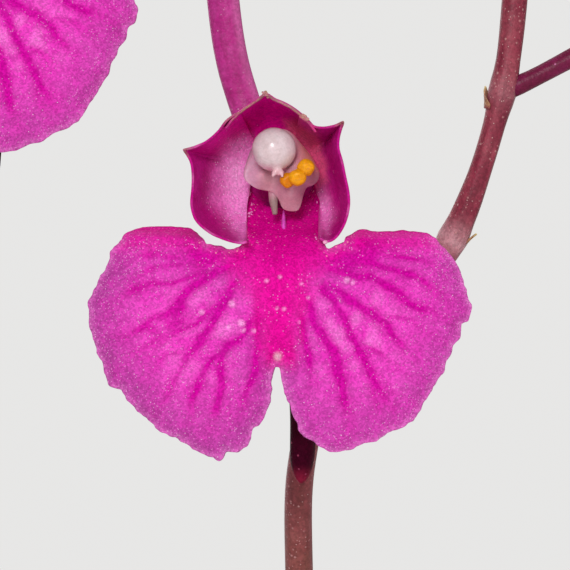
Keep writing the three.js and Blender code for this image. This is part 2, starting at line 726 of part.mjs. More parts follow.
function piece(name, body, material) {
  const mesh = new THREE.Mesh(geometryOf(body), MATERIALS[material]);
  mesh.name = name;
  plant.add(mesh);
}

const numbered = (name, i) => `${name}_${i + 1}`;
const bulbHoles = SHOOTS.map(bulbHole);
const grownRoots = rhizome(2 * GAP);

piece("pot", pot(), "clay");
piece("bark", bark([...bulbHoles, stemHole("left"), stemHole("right"), grownRoots]), "bark");
piece("rhizome_and_roots", rhizome(), "root");
SHOOTS.forEach((shoot, i) => {
  piece(numbered("pseudobulb", i), bulb(shoot), "bulb");
  piece(numbered("leaf", i), leaf(shoot), "leaf");
  piece(numbered("sheath", i), sheath(shoot), "sheath");
});
piece("flower_stem_left", stem("left", [0.2, 0.42]), "stem");
piece("flower_stem_right", stem("right", [0.2, 0.4]), "stem");
FLOWERS.forEach((flower) => {
  piece(`flower_${flower.name}`, perianth(flower), "petal");
  piece(`column_${flower.name}`, column(flower), "column");
});
const mainPlace = placeFlower(FLOWERS.find(({ name }) => name === "main")).elements;
const pollinia = join(POLLINIA.map((each) => ellipsoid(each, 6)));
piece("anther_cap_main", ellipsoid(ANTHER, 12).transform(mainPlace), "column");
piece("pollinia_main", pollinia.transform(mainPlace), "pollen");
BUDS.forEach((each) => piece(each.name, bud(each), "petal"));

export default plant;
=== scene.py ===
"""A potted Comparettia falcata, dressed around its solids.

A small orchid in a clay pot of bark: six pseudobulbs with a leaf each, and two thin arching flower
stems. The camera looks at the main bloom from straight in front and a little below.
Shapes are worked out in millimetres in the plant's own frame, and scaled to metres once a piece is done.
"""

import logging
import math
from dataclasses import dataclass, field
from enum import Enum
from typing import Callable, Sequence

import bpy
import numpy as np
from mathutils import Matrix, Vector, noise

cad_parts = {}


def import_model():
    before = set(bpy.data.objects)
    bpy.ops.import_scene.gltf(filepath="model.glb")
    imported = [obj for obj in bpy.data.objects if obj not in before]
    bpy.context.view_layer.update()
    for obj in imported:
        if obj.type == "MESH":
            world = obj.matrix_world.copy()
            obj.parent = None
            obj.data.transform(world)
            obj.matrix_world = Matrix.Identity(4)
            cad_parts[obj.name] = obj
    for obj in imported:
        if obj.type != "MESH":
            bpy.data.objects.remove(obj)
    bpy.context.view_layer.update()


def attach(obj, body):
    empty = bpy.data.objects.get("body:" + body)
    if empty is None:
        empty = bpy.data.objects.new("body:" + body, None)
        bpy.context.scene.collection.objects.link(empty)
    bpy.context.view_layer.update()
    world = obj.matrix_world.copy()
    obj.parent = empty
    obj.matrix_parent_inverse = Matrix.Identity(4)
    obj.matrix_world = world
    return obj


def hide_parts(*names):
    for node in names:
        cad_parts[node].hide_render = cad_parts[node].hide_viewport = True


MILLIMETRE = 0.001
BODY = "root"
SEAM = 1e-4
FAR = 1e9
LEVELS = 20
HOOD_BACK = 3.0
HOOD_FRONT = -1.2

Place = tuple[float, float, float]
Colour = Place
Line = tuple[Place, ...]
Ring = tuple[tuple[float, float], ...]
Points = np.ndarray
Socket = bpy.types.NodeSocket
Shape = Callable[[Points, Points], Points]
Piece = bpy.types.Object


# Numbers and lines


def smooth(low: float, high: float, x: Points) -> Points:
    """Rises softly from 0 at low to 1 at high."""
    t = np.clip((np.asarray(x, float) - low) / (high - low), 0.0, 1.0)
    return t * t * (3.0 - 2.0 * t)


def mix(low: Points, high: Points, share: Points) -> Points:
    """Goes from low at share 0 to high at share 1."""
    return low + (high - low) * share


def bell(x: Points) -> Points:
    """A soft hump: 1 at 0, and next to nothing from 2 on."""
    return np.exp(-(x**2))


def unit(vectors: Points) -> Points:
    """Vectors made one long."""
    return vectors / np.linalg.norm(vectors, axis=-1, keepdims=True)


def stack(x: Points, y: Points, z: Points) -> Points:
    """Puts three lists of coordinates together as points."""
    return np.stack(np.broadcast_arrays(x, y, z), axis=-1).astype(float)


def ripple(points: Points, size: float, seed: int = 0) -> Points:
    """Smooth uneven heights, from about -1 to 1."""
    shift = Vector((17.31 * seed + 3.7, 5.17 * seed + 1.3, 9.73 * seed + 8.1))
    return np.array([noise.noise(Vector(p) / size + shift) for p in points])


@dataclass
class Way:
    """A smooth line through points, as a stem, root or rim follows it.

    Args:
        points: the points that it runs through.
        closed: whether it comes back to its start.
    """

    points: Sequence[Sequence[float]]
    closed: bool = False
    fineness: int = 1200

    def __post_init__(self) -> None:
        """Measures the line once, so that places can be given by their share of its length."""
        self.knots = np.array(self.points, float)
        self.marks = np.linspace(0.0, 1.0, self.fineness + 1)
        steps = np.linalg.norm(np.diff(self.at(self.marks), axis=0), axis=1)
        self.lengths = np.concatenate([[0.0], np.cumsum(steps)])

    def at(self, t: Points) -> Points:
        """Points by their number along the line.

        Args:
            t: 0 at the first point, 1 at the last.

        Returns:
            One row for each value.
        """
        count = len(self.knots)
        spans = count if self.closed else count - 1
        place = np.atleast_1d(np.asarray(t, float)) * spans
        start = np.minimum(np.floor(place).astype(int), spans - 1)
        w = (place - start)[:, None]
        if self.closed:
            p0, p1, p2, p3 = (self.knots[(start + k) % count] for k in (-1, 0, 1, 2))
        else:
            before = 2 * self.knots[0] - self.knots[1]
            after = 2 * self.knots[-1] - self.knots[-2]
            knots = np.vstack([before, self.knots, after])
            p0, p1, p2, p3 = (knots[start + k] for k in (0, 1, 2, 3))
        d0, d1, d2 = (
            np.sqrt(np.maximum(np.linalg.norm(b - a, axis=1), 1e-9))[:, None]
            for a, b in ((p0, p1), (p1, p2), (p2, p3))
        )
        out = ((p1 - p0) / d0 - (p2 - p0) / (d0 + d1) + (p2 - p1) / d1) * d1
        back = ((p2 - p1) / d1 - (p3 - p1) / (d1 + d2) + (p3 - p2) / d2) * d1
        square = -3 * p1 + 3 * p2 - 2 * out - back
        cube = 2 * p1 - 2 * p2 + out + back
        return p1 + out * w + square * w**2 + cube * w**3

    def along(self, share: Points) -> Points:
        """Points by their share of the line's length."""
        wanted = np.atleast_1d(np.asarray(share, float)) * self.lengths[-1]
        return self.at(np.interp(wanted, self.lengths, self.marks))

    def heading(self, share: Points) -> Points:
        """Which way the line runs.

        Args:
            share: 0 at the start, 1 at the end.

        Returns:
            One unit vector for each value.
        """
        share = np.atleast_1d(np.asarray(share, float))
        run = self.along(np.minimum(share + 1e-3, 1.0)) - self.along(np.maximum(share - 1e-3, 0.0))
        return unit(run)

    def frames(self, count: int) -> tuple[Points, Points, Points]:
        """Cross directions that turn no more than the line does.

        Args:
            count: how many places, evenly spaced.

        Returns:
            The places, and two cross directions at each.
        """
        share = np.linspace(0.0, 1.0, count)
        centres, headings = self.along(share), self.heading(share)
        across = np.cross(headings[0], [0.31, 0.17, 0.93])
        normals = []
        for heading in headings:
            across = unit(across - heading * (across @ heading))
            normals.append(across)
        normals = np.array(normals)
        return centres, normals, np.cross(headings, normals)


def turned(degrees: float, axis: str) -> Matrix:
    """A turn about an axis."""
    return Matrix.Rotation(math.radians(degrees), 4, axis)


# The bench: how pieces are made


def pick(*pieces: Piece) -> None:
    """Selects these pieces alone, with the first one active.

    Args:
        pieces: what to select.
    """
    for each in list(bpy.context.selected_objects):
        each.select_set(False)
    for each in pieces:
        each.select_set(True)
    if pieces:
        bpy.context.view_layer.objects.active = pieces[0]


def read(piece: Piece) -> Points:
    """Where a piece's vertices are.

    Args:
        piece: the piece.

    Returns:
        One row for each vertex.
    """
    points = np.empty(len(piece.data.vertices) * 3)
    piece.data.vertices.foreach_get("co", points)
    return points.reshape(-1, 3)


def write(piece: Piece, points: Points) -> None:
    """Puts a piece's vertices at these points."""
    piece.data.vertices.foreach_set("co", points.ravel())
    piece.data.update()


def outwards(piece: Piece) -> Points:
    """Which way a piece faces at each vertex.

    Args:
        piece: the piece.

    Returns:
        One unit vector for each vertex.
    """
    normals = np.empty(len(piece.data.vertices) * 3)
    piece.data.vertex_normals.foreach_get("vector", normals)
    return normals.reshape(-1, 3)


def mark(piece: Piece, **marks: Points) -> None:
    """Writes numbers onto each vertex, for the finish to read.

    Args:
        piece: the piece.
        marks: by each mark's name, one number for each vertex or one for all.
    """
    for name, values in marks.items():
        layer = piece.data.attributes.get(name) or piece.data.attributes.new(name, "FLOAT", "POINT")
        full = np.broadcast_to(np.asarray(values, np.float32), len(piece.data.vertices))
        layer.data.foreach_set("value", np.ascontiguousarray(full))


def marked(piece: Piece, name: str) -> Points:
    """Reads a mark back.

    Args:
        piece: the piece.
        name: the mark's name.

    Returns:
        One number for each vertex.
    """
    values = np.empty(len(piece.data.vertices))
    piece.data.attributes[name].data.foreach_get("value", values)
    return values


def sheet(name: str, columns: int, rows: int, shape: Shape) -> Piece:
    """Adds a grid and lays it on a shape.

    Args:
        name: the piece's name.
        columns: faces across.
        rows: faces along.
        shape: gives the points for shares across and along, from 0 to 1.

    Returns:
        The piece.
    """
    pick()
    bpy.ops.mesh.primitive_grid_add(x_subdivisions=columns, y_subdivisions=rows, size=2.0)
    piece = bpy.context.active_object
    piece.name = name
    piece.data.name = name
    flat = read(piece)
    write(piece, shape((flat[:, 0] + 1.0) / 2.0, (flat[:, 1] + 1.0) / 2.0))
    return piece


def shares(columns: int, rows: int) -> tuple[Points, Points]:
    """Where each vertex of a sheet lies."""
    across, along = np.linspace(0, 1, columns + 1), np.linspace(0, 1, rows + 1)
    return np.tile(across, rows + 1), np.repeat(along, columns + 1)


def weld(piece: Piece) -> None:
    """Closes seams and poles, and faces the skin outwards.

    Args:
        piece: the piece.
    """
    pick(piece)
    bpy.ops.object.mode_set(mode="EDIT")
    bpy.ops.mesh.select_all(action="SELECT")
    bpy.ops.mesh.remove_doubles(threshold=SEAM)
    bpy.ops.mesh.normals_make_consistent(inside=False)
    bpy.ops.object.mode_set(mode="OBJECT")


def settle(piece: Piece) -> None:
    """Applies a piece's modifiers, in order.

    Args:
        piece: the piece.
    """
    pick(piece)
    for modifier in list(piece.modifiers):
        bpy.ops.object.modifier_apply(modifier=modifier.name)


def refine(piece: Piece) -> None:
    """Rounds a piece by one subdivision.

    Args:
        piece: the piece.
    """
    modifier = piece.modifiers.new("refine", "SUBSURF")
    modifier.levels = 1
    settle(piece)


def thicken(piece: Piece, thick: float, fullness: Points | None = None) -> None:
    """Gives a sheet its thickness, to both sides alike.

    Args:
        piece: the sheet.
        thick: its full thickness.
        fullness: share of that thickness at each vertex, for a sheet that thins out.
    """
    modifier = piece.modifiers.new("thickness", "SOLIDIFY")
    modifier.thickness = thick
    modifier.offset = 0.0
    if fullness is not None:
        group = piece.vertex_groups.new(name="fullness")
        levels = np.round(np.clip(fullness, 0.0, 1.0) * LEVELS).astype(int)
        for level in np.unique(levels):
            group.add(np.flatnonzero(levels == level).tolist(), level / LEVELS, "REPLACE")
        modifier.vertex_group = group.name
        modifier.thickness_vertex_group = 0.0
    settle(piece)
    piece.vertex_groups.clear()


def tube(
    name: str, way: Way, radius: Callable[[Points, Points], Points], sides: int, steps: int
) -> Piece:
    """A closed round piece along a line.

    Args:
        name: the piece's name.
        way: the line that it follows.
        radius: gives the radius for shares along the line and angles about it.
        sides: faces round it.
        steps: faces along it.

    Returns:
        The piece, with the share of its length marked as along.
    """
    centres, normals, others = way.frames(steps + 1)
    rows = steps + 2

    def shape(u: Points, v: Points) -> Points:
        """Lays rings round the line.

        Args:
            u: shares across.
            v: shares along.

        Returns:
            The points.
        """
        grid_row, angle = np.rint(v * rows).astype(int), 2.0 * math.pi * u
        row, ends = np.clip(grid_row - 1, 0, steps), (grid_row > 0) & (grid_row < rows)
        ring = (radius(row / steps, angle) * ends)[:, None]
        side = normals[row] * np.cos(angle)[:, None] + others[row] * np.sin(angle)[:, None]
        return centres[row] + ring * side

    piece = sheet(name, sides, rows, shape)
    share = np.linspace(0.0, 1.0, rows + 1)
    mark(piece, along=np.repeat((np.clip(share * rows - 1, 0, steps)) / steps, sides + 1))
    weld(piece)
    return piece


def ball(name: str, centre: Sequence[float], size: Sequence[float], segments: int = 32) -> Piece:
    """A round body, longer one way than another.

    Args:
        name: the piece's name.
        centre: its middle.
        size: its three half sizes.
        segments: faces round it.

    Returns:
        The piece.
    """
    pick()
    bpy.ops.mesh.primitive_uv_sphere_add(
        segments=segments, ring_count=max(4, segments // 2), radius=1.0, location=centre, scale=size
    )
    piece = bpy.context.active_object
    piece.name = name
    piece.data.name = name
    bpy.ops.object.transform_apply(location=True, rotation=True, scale=True)
    return piece


def joined(name: str, pieces: Sequence[Piece]) -> Piece:
    """Makes several pieces one.

    Args:
        name: the name of the whole.
        pieces: what it is made of.

    Returns:
        The whole.
    """
    pick(*pieces)
    if len(pieces) > 1:
        bpy.ops.object.join()
    whole = pieces[0]
    whole.name = name
    whole.data.name = name
    return whole


def fused(name: str, pieces: Sequence[Piece], grain: float, rounds: int) -> Piece:
    """Grows several round bodies together into one skin.

    Args:
        name: the name of the whole.
        pieces: the bodies, which overlap.
        grain: size of a face of the new skin.
        rounds: how often it is smoothed.

    Returns:
        The whole.
    """
    whole = joined(name, pieces)
    skin = whole.modifiers.new("skin", "REMESH")
    skin.mode = "VOXEL"
    skin.voxel_size = grain
    rub = whole.modifiers.new("rub", "SMOOTH")
    rub.factor = 0.5
    rub.iterations = rounds
    settle(whole)
    return whole


def twin(piece: Piece, name: str) -> Piece:
    """Copies a piece, with its own mesh.

    Args:
        piece: what to copy.
        name: the copy's name.

    Returns:
        The copy.
    """
    copy = piece.copy()
    copy.data = piece.data.copy()
    copy.name = name
    copy.data.name = name
    bpy.context.scene.collection.objects.link(copy)
    return copy


def place(piece: Piece, matrix: Matrix) -> Piece:
    """Moves a piece's mesh, and leaves its object at the origin.

    Args:
        piece: the piece.
        matrix: the move.

    Returns:
        The piece.
    """
    piece.data.transform(matrix)
    piece.data.update()
    return piece


def dress(piece: Piece, finish: "Finish") -> Piece:
    """Gives a piece its finish, and a smooth surface.

    Args:
        piece: the piece.
        finish: its finish.

    Returns:
        The piece.
    """
    piece.data.materials.clear()
    piece.data.materials.append(finish.material())
    piece.data.polygons.foreach_set("use_smooth", np.ones(len(piece.data.polygons), bool))
    return piece


def deliver(piece: Piece, slot: str, *nodes: str) -> Piece:
    """Scales a finished piece to metres and puts it in the place of its solids.

    Args:
        piece: the piece, in millimetres.
        slot: a finish's name; not used.
        nodes: the solids that it stands for.

    Returns:
        The piece.
    """
    place(piece, Matrix.Scale(MILLIMETRE, 4))
    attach(piece, BODY)
    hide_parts(*nodes)
    logging.info("%s: %d faces, for %s", piece.name, len(piece.data.polygons), ", ".join(nodes))
    return piece


# Finishes


class Nodes:
    """The node tree of one finish."""

    def __init__(self, name: str) -> None:
        """Starts a material with an empty shader.

        Args:
            name: the material's name.
        """
        self.made = bpy.data.materials.new(name)
        self.made.use_nodes = True
        self.tree = self.made.node_tree
        self.shader = self.tree.nodes["Principled BSDF"]
        self.spot = self.add("ShaderNodeTexCoord").outputs["Object"]

    def add(self, kind: str, **settings: object) -> bpy.types.Node:
        """Adds a node with these settings.

        Args:
            kind: the node's type.
            settings: its settings by name.

        Returns:
            The node.
        """
        node = self.tree.nodes.new(kind)
        for name, value in settings.items():
            setattr(node, name, value)
        return node

    def feed(self, socket: Socket, value: object) -> None:
        """Sets a socket, or links it to another.

        Args:
            socket: what is fed.
            value: a number, a colour or another node's socket.
        """
        if isinstance(value, Socket):
            self.tree.links.new(value, socket)
        elif isinstance(value, tuple) and len(socket.default_value) == 4:
            socket.default_value = (*value, 1.0)
        else:
            socket.default_value = value

    def mark(self, name: str) -> Socket:
        """The number that a piece carries under this name."""
        return self.add("ShaderNodeAttribute", attribute_name=name).outputs["Fac"]

    def maths(self, kind: str, *values: object) -> Socket:
        """Adds one sum.

        Args:
            kind: which sum; an _01 at its end keeps the result from 0 to 1.
            values: up to three numbers or sockets.

        Returns:
            The result's socket.
        """
        node = self.add("ShaderNodeMath", operation=kind.removesuffix("_01"))
        node.use_clamp = kind.endswith("_01")
        for socket, value in zip(node.inputs, values):
            self.feed(socket, value)
        return node.outputs[0]

    def spread(
        self, value: object, low: float, high: float, to_low: float = 0.0, to_high: float = 1.0
    ) -> Socket:
        """Stretches a range of values softly onto another.

        Args:
            value: the value's socket.
            low: start of its range.
            high: end of its range.
            to_low: what low becomes.
            to_high: what high becomes.

        Returns:
            The new value's socket.
        """
        node = self.add("ShaderNodeMapRange", interpolation_type="SMOOTHSTEP")
        for socket, each in zip(node.inputs, (value, low, high, to_low, to_high)):
            self.feed(socket, each)
        return node.outputs[0]

    def blend(self, share: object, low: object, high: object, way: str = "MIX") -> Socket:
        """Lays one colour on another.

        Args:
            share: how much of it shows.
            low: the colour below.
            high: the colour on top.
            way: how they mix.

        Returns:
            The colour's socket.
        """
        node = self.add("ShaderNodeMix", data_type="RGBA", blend_type=way)
        for number, value in ((0, share), (6, low), (7, high)):
            self.feed(node.inputs[number], value)
        return node.outputs[2]

    def clouds(self, size: float, detail: float = 4.0) -> Socket:
        """Adds soft uneven patches.

        Args:
            size: their size in millimetres.
            detail: how fine their edges are.

        Returns:
            The socket of the patches.
        """
        node = self.add("ShaderNodeTexNoise")
        self.feed(node.inputs["Vector"], self.spot)
        node.inputs["Scale"].default_value = 1.0 / (size * MILLIMETRE)
        node.inputs["Detail"].default_value = detail
        node.inputs["Roughness"].default_value = 0.6
        return node.outputs["Fac"]

    def cells(self, size: float, soft: bool = False) -> bpy.types.Node:
        """Adds small cells.

        Args:
            size: their size in millimetres.
            soft: whether they run into each other.

        Returns:
            The node.
        """
        node = self.add("ShaderNodeTexVoronoi", feature="SMOOTH_F1" if soft else "F1")
        self.feed(node.inputs["Vector"], self.spot)
        node.inputs["Scale"].default_value = 1.0 / (size * MILLIMETRE)
        if soft:
            node.inputs["Smoothness"].default_value = 0.4
        return node

    def fibres(self, across: float, along: float) -> Socket:
        """Long thin streaks that follow a piece, from its own map.

        Args:
            across: how many lie side by side.
            along: how many lie end to end.

        Returns:
            The socket of the streaks.
        """
        source = self.add("ShaderNodeUVMap", uv_map="UVMap")
        mapping = self.add("ShaderNodeMapping")
        self.feed(mapping.inputs["Vector"], source.outputs["UV"])
        mapping.inputs["Scale"].default_value = (across, along, 1.0)
        node = self.add("ShaderNodeTexNoise")
        self.feed(node.inputs["Vector"], mapping.outputs["Vector"])
        node.inputs["Scale"].default_value = 1.0
        node.inputs["Detail"].default_value = 3.0
        return node.outputs["Fac"]


@dataclass(frozen=True)
class Tint:
    """A colour that shows where the piece carries a mark.

    Args:
        mark: the mark's name.
        colour: the colour.
        most: how much of it shows at the most.
        broken: how far soft patches break it up.
        size: size of those patches.
    """

    mark: str
    colour: Colour
    most: float = 1.0
    broken: float = 0.0
    size: float = 0.6


@dataclass(frozen=True)
class Flecks:
    """Small dots of another colour.

    Args:
        size: how far apart they can lie.
        share: how many of the places have one.
        colour: their colour.
        width: how wide each is, as a share of the size.
        mark: a mark that says where they are thick.
        more: share of the places that have one where the mark is full.
        most: how much of the colour shows.
    """

    size: float
    share: float
    colour: Colour
    width: float = 0.42
    mark: str = ""
    more: float = 0.0
    most: float = 0.8


@dataclass(frozen=True)
class Streaks:
    """Fibres or fine veins that follow the piece.

    Args:
        across: how many lie side by side.
        along: how many lie end to end.
        colour: their colour.
        most: how much of it shows.
        depth: how deep they are.
    """

    across: float
    along: float
    colour: Colour
    most: float = 0.5
    depth: float = 0.03


@dataclass(frozen=True)
class Finish:
    """A natural skin: a colour with patches, fine cells, dots and fibres.

    Args:
        name: its name.
        colour: main colour.
        mottle: second colour, in soft patches.
        mottle_size: size of the patches.
        grain_size: size of the fine cells.
        grain_depth: how far they stand up.
        grain_light: how unlike each other they are in lightness.
        rough: how dull it is.
        specular: how much it shines back.
        coat: clear wet layer.
        soft: how much light wanders below the skin.
        soft_colour: how far each colour wanders.
        tints: colours at marks.
        flecks: small dots.
        streaks: fibres.
    """

    name: str
    colour: Colour
    mottle: Colour
    mottle_size: float = 3.0
    mottle_most: float = 0.8
    grain_size: float = 0.3
    grain_depth: float = 0.01
    grain_light: float = 0.12
    rough: float = 0.5
    specular: float = 0.5
    coat: float = 0.0
    soft: float = 0.0
    soft_colour: Colour = (1.0, 0.4, 0.5)
    tints: tuple[Tint, ...] = ()
    flecks: tuple[Flecks, ...] = ()
    streaks: tuple[Streaks, ...] = ()

    def material(self) -> bpy.types.Material:
        """The material of this finish, made once."""
        return bpy.data.materials.get(self.name) or self.mixed()

    def mixed(self) -> bpy.types.Material:
        """Mixes the material.

        Returns:
            The material.
        """
        nodes = Nodes(self.name)
        patches = nodes.clouds(self.mottle_size)
        share = nodes.maths("MULTIPLY", nodes.spread(patches, 0.38, 0.64), self.mottle_most)
        colour = nodes.blend(share, self.colour, self.mottle)
        grain = nodes.cells(self.grain_size, soft=True)
        height = nodes.maths("MULTIPLY", grain.outputs["Distance"], -self.grain_depth)
        height = nodes.maths("MULTIPLY_ADD", nodes.clouds(3.3 * self.grain_size), self.grain_depth, height)
        for streak in self.streaks:
            fibres = nodes.fibres(streak.across, streak.along)
            shown = nodes.maths("MULTIPLY", nodes.spread(fibres, 0.42, 0.66), streak.most)
            colour = nodes.blend(shown, colour, streak.colour)
            height = nodes.maths("MULTIPLY_ADD", fibres, streak.depth, height)
        for tint in self.tints:
            shown = nodes.maths("MULTIPLY_01", nodes.mark(tint.mark), tint.most)
            if tint.broken:
                gaps = nodes.spread(nodes.clouds(tint.size, 5.0), 0.3, 0.6, 1.0 - tint.broken, 1.0)
                shown = nodes.maths("MULTIPLY_01", shown, gaps)
            colour = nodes.blend(shown, colour, tint.colour)
        tone = nodes.add("ShaderNodeSeparateColor")
        nodes.feed(tone.inputs[0], grain.outputs["Color"])
        light = nodes.spread(tone.outputs[0], 0.0, 1.0, 1.0 - self.grain_light, 1.0 + self.grain_light)
        grey = nodes.add("ShaderNodeCombineColor")
        for socket in grey.inputs[:3]:
            nodes.feed(socket, light)
        colour = nodes.blend(1.0, colour, grey.outputs[0], "MULTIPLY")
        for fleck in self.flecks:
            colour, height = self.dotted(nodes, fleck, colour, height)
        bump = nodes.add("ShaderNodeBump")
        bump.inputs["Distance"].default_value = MILLIMETRE
        nodes.feed(bump.inputs["Height"], height)
        shader = nodes.shader.inputs
        nodes.feed(shader["Normal"], bump.outputs[0])
        nodes.feed(shader["Base Color"], colour)
        for title, value in (
            ("Roughness", self.rough), ("Specular IOR Level", self.specular), ("Coat Weight", self.coat),
            ("Coat Roughness", 0.15), ("Subsurface Weight", self.soft),
            ("Subsurface Radius", self.soft_colour), ("Subsurface Scale", 0.5 * MILLIMETRE),
        ):
            shader[title].default_value = value
        return nodes.made

    @staticmethod
    def dotted(
        nodes: Nodes, fleck: Flecks, colour: Socket, height: Socket
    ) -> tuple[Socket, Socket]:
        """Lays small dots on the skin, each a little raised.

        Args:
            nodes: the finish in the making.
            fleck: the dots.
            colour: the colour so far.
            height: the height so far.

        Returns:
            The colour and the height with the dots.
        """
        cells = nodes.cells(fleck.size)
        chance = nodes.add("ShaderNodeSeparateColor")
        nodes.feed(chance.inputs[0], cells.outputs["Color"])
        bar: object = 1.0 - fleck.share
        if fleck.mark:
            thick = nodes.mark(fleck.mark)
            bar = nodes.maths("MULTIPLY_ADD", thick, fleck.share - fleck.more, 1.0 - fleck.share)
        taken = nodes.maths("GREATER_THAN", chance.outputs[1], bar)
        near = nodes.spread(cells.outputs["Distance"], 0.35 * fleck.width, fleck.width, 1.0, 0.0)
        dot = nodes.maths("MULTIPLY", taken, near)
        shown = nodes.maths("MULTIPLY", dot, fleck.most)
        return (
            nodes.blend(shown, colour, fleck.colour),
            nodes.maths("MULTIPLY_ADD", dot, 0.12 * fleck.size, height),
        )


TERRACOTTA = Finish(
    "terracotta", (0.44, 0.165, 0.075), (0.53, 0.225, 0.115), mottle_size=14, grain_size=0.5,
    grain_depth=0.05, grain_light=0.08, rough=0.88, specular=0.25,
    tints=(
        Tint("damp", (0.2, 0.075, 0.04), 0.75, 0.6, 9),
        Tint("lime", (0.6, 0.5, 0.4), 0.3, 0.95, 4),
        Tint("moss", (0.09, 0.12, 0.035), 0.55, 0.95, 3),
    ),
    flecks=(Flecks(1.6, 0.07, (0.24, 0.1, 0.06), 0.3), Flecks(0.9, 0.05, (0.66, 0.42, 0.28), 0.3)),
)
BARK = Finish(
    "orchid_bark", (0.105, 0.048, 0.024), (0.2, 0.095, 0.045), mottle_size=2.6, grain_size=0.45,
    grain_depth=0.16, grain_light=0.3, rough=0.93, specular=0.2,
    tints=(
        Tint("tone", (0.29, 0.15, 0.075), 0.8, 0.5, 2.5),
        Tint("moss", (0.055, 0.095, 0.02), 0.75, 0.9, 2.2),
    ),
    flecks=(Flecks(1.1, 0.16, (0.04, 0.02, 0.012), 0.4),),
    streaks=(Streaks(34, 5, (0.05, 0.022, 0.012), 0.75, 0.3),),
)
ROOT_SKIN = Finish(
    "root_skin", (0.5, 0.49, 0.39), (0.36, 0.37, 0.25), mottle_size=2.5, grain_size=0.22,
    grain_depth=0.03, grain_light=0.12, rough=0.75, specular=0.3, soft=0.1,
    tints=(
        Tint("tip", (0.16, 0.26, 0.045), 0.95),
        Tint("soiled", (0.17, 0.1, 0.055), 0.75, 0.7, 1.8),
    ),
    streaks=(Streaks(16, 9, (0.29, 0.26, 0.18), 0.5, 0.06),),
)
BULB_SKIN = Finish(
    "pseudobulb_skin", (0.115, 0.205, 0.035), (0.19, 0.265, 0.06), mottle_size=5, grain_size=0.25,
    grain_depth=0.012, grain_light=0.1, rough=0.42, specular=0.5, soft=0.08,
    tints=(
        # painted shade: a darker green laid into the rib grooves, where shade falls
        Tint("groove", (0.07, 0.12, 0.02), 0.6),
        Tint("flush", (0.16, 0.05, 0.045), 0.65, 0.7, 3),
        Tint("scar", (0.33, 0.22, 0.11), 0.9, 0.4, 0.8),
    ),
    flecks=(Flecks(1.3, 0.12, (0.13, 0.05, 0.04), 0.25),),
    streaks=(Streaks(70, 3, (0.23, 0.3, 0.09), 0.35, 0.02),),
)
LEAF_SKIN = Finish(
    "leaf_skin", (0.05, 0.155, 0.024), (0.085, 0.215, 0.035), mottle_size=7, grain_size=0.18,
    grain_depth=0.012, grain_light=0.1, rough=0.36, specular=0.5, soft=0.05, soft_colour=(0.4, 1.0, 0.2),
    tints=(
        Tint("under", (0.15, 0.215, 0.085), 0.85),
        Tint("blush", (0.13, 0.035, 0.04), 0.55, 0.75, 4),
        Tint("midrib", (0.17, 0.29, 0.075), 0.75),
        Tint("margin", (0.16, 0.14, 0.04), 0.55, 0.5, 1.5),
        Tint("tip", (0.28, 0.17, 0.07), 0.8, 0.5, 1.2),
    ),
    flecks=(Flecks(2.4, 0.05, (0.19, 0.24, 0.08), 0.2),),
    streaks=(Streaks(46, 1.4, (0.095, 0.24, 0.045), 0.55, 0.05),),
)
SHEATH_PAPER = Finish(
    "dry_sheath", (0.48, 0.34, 0.19), (0.62, 0.49, 0.31), mottle_size=3, grain_size=0.2,
    grain_depth=0.02, grain_light=0.12, rough=0.7, specular=0.3,
    tints=(Tint("torn", (0.24, 0.14, 0.07), 0.8, 0.5, 1.5),),
    flecks=(Flecks(1.2, 0.12, (0.19, 0.1, 0.05), 0.35),),
    streaks=(Streaks(60, 2.5, (0.27, 0.17, 0.085), 0.7, 0.09),),
)
STEM_SKIN = Finish(
    "flower_stem_skin", (0.23, 0.027, 0.052), (0.31, 0.06, 0.085), mottle_size=1.3, grain_size=0.13,
    grain_depth=0.012, grain_light=0.16, rough=0.45, specular=0.2, soft=0.05,
    tints=(
        Tint("green", (0.16, 0.19, 0.05), 0.75, 0.5, 4),
        Tint("joint", (0.56, 0.3, 0.33), 0.9, 0.35, 0.4),
        Tint("bract", (0.42, 0.24, 0.11), 0.85, 0.5, 0.8),
        Tint("bract_tip", (0.62, 0.5, 0.2), 0.9),
    ),
    flecks=(
        Flecks(0.3, 0.2, (0.52, 0.24, 0.24), 0.34),
        Flecks(0.13, 0.1, (0.62, 0.34, 0.34), 0.4),
    ),
    streaks=(Streaks(9, 60, (0.115, 0.012, 0.025), 0.5, 0.02),),
)
LIP_SKIN = Finish(
    "lip_skin", (0.78, 0.062, 0.51), (0.72, 0.03, 0.44), mottle_size=0.8, grain_size=0.085,
    grain_depth=0.012, grain_light=0.2, rough=0.55, specular=0.02,
    tints=(
        Tint("puff", (0.88, 0.19, 0.65), 0.85, 0.4, 0.4),
        # painted shade: darker towards the margin and on the lower lobes, where they roll back from the light
        Tint("painted_lobe_shade", (0.37, 0.045, 0.27), 0.88, 0.35, 0.6),
        Tint("vein", (0.55, 0.0015, 0.3), 1.0, 0.1, 0.5),
        Tint("warm", (0.7, 0.0015, 0.28), 0.97),
        # the throat's own crimson, made stronger at the trough's walls and up under the column as painted
        # shade
        Tint("deep", (0.6, 0.001, 0.23), 0.95, 0.15, 0.5),
        Tint("rim", (0.66, 0.17, 0.5), 0.6, 0.6, 0.25),
        Tint("wart", (0.9, 0.4, 0.74), 0.8, 0.3, 0.1),
        Tint("callus", (0.82, 0.5, 0.58), 0.9, 0.4, 0.12),
        Tint("keel", (0.72, 0.1, 0.6), 0.95),
        Tint("flake", (0.42, 0.25, 0.15), 0.95, 0.4, 0.1),
    ),
    flecks=(
        # painted glints: pale and golden dots that stand for the sparkle of the lip's cells
        Flecks(0.11, 0.03, (0.94, 0.36, 0.76), 0.45, "painted_glint", 0.6, 0.5),
        Flecks(0.15, 0.008, (1.0, 0.66, 0.88), 0.26, "painted_glint", 0.1, 0.85),
        Flecks(0.17, 0.0, (0.95, 0.26, 0.42), 0.4, "painted_gold_glint", 0.3, 0.85),
    ),
)
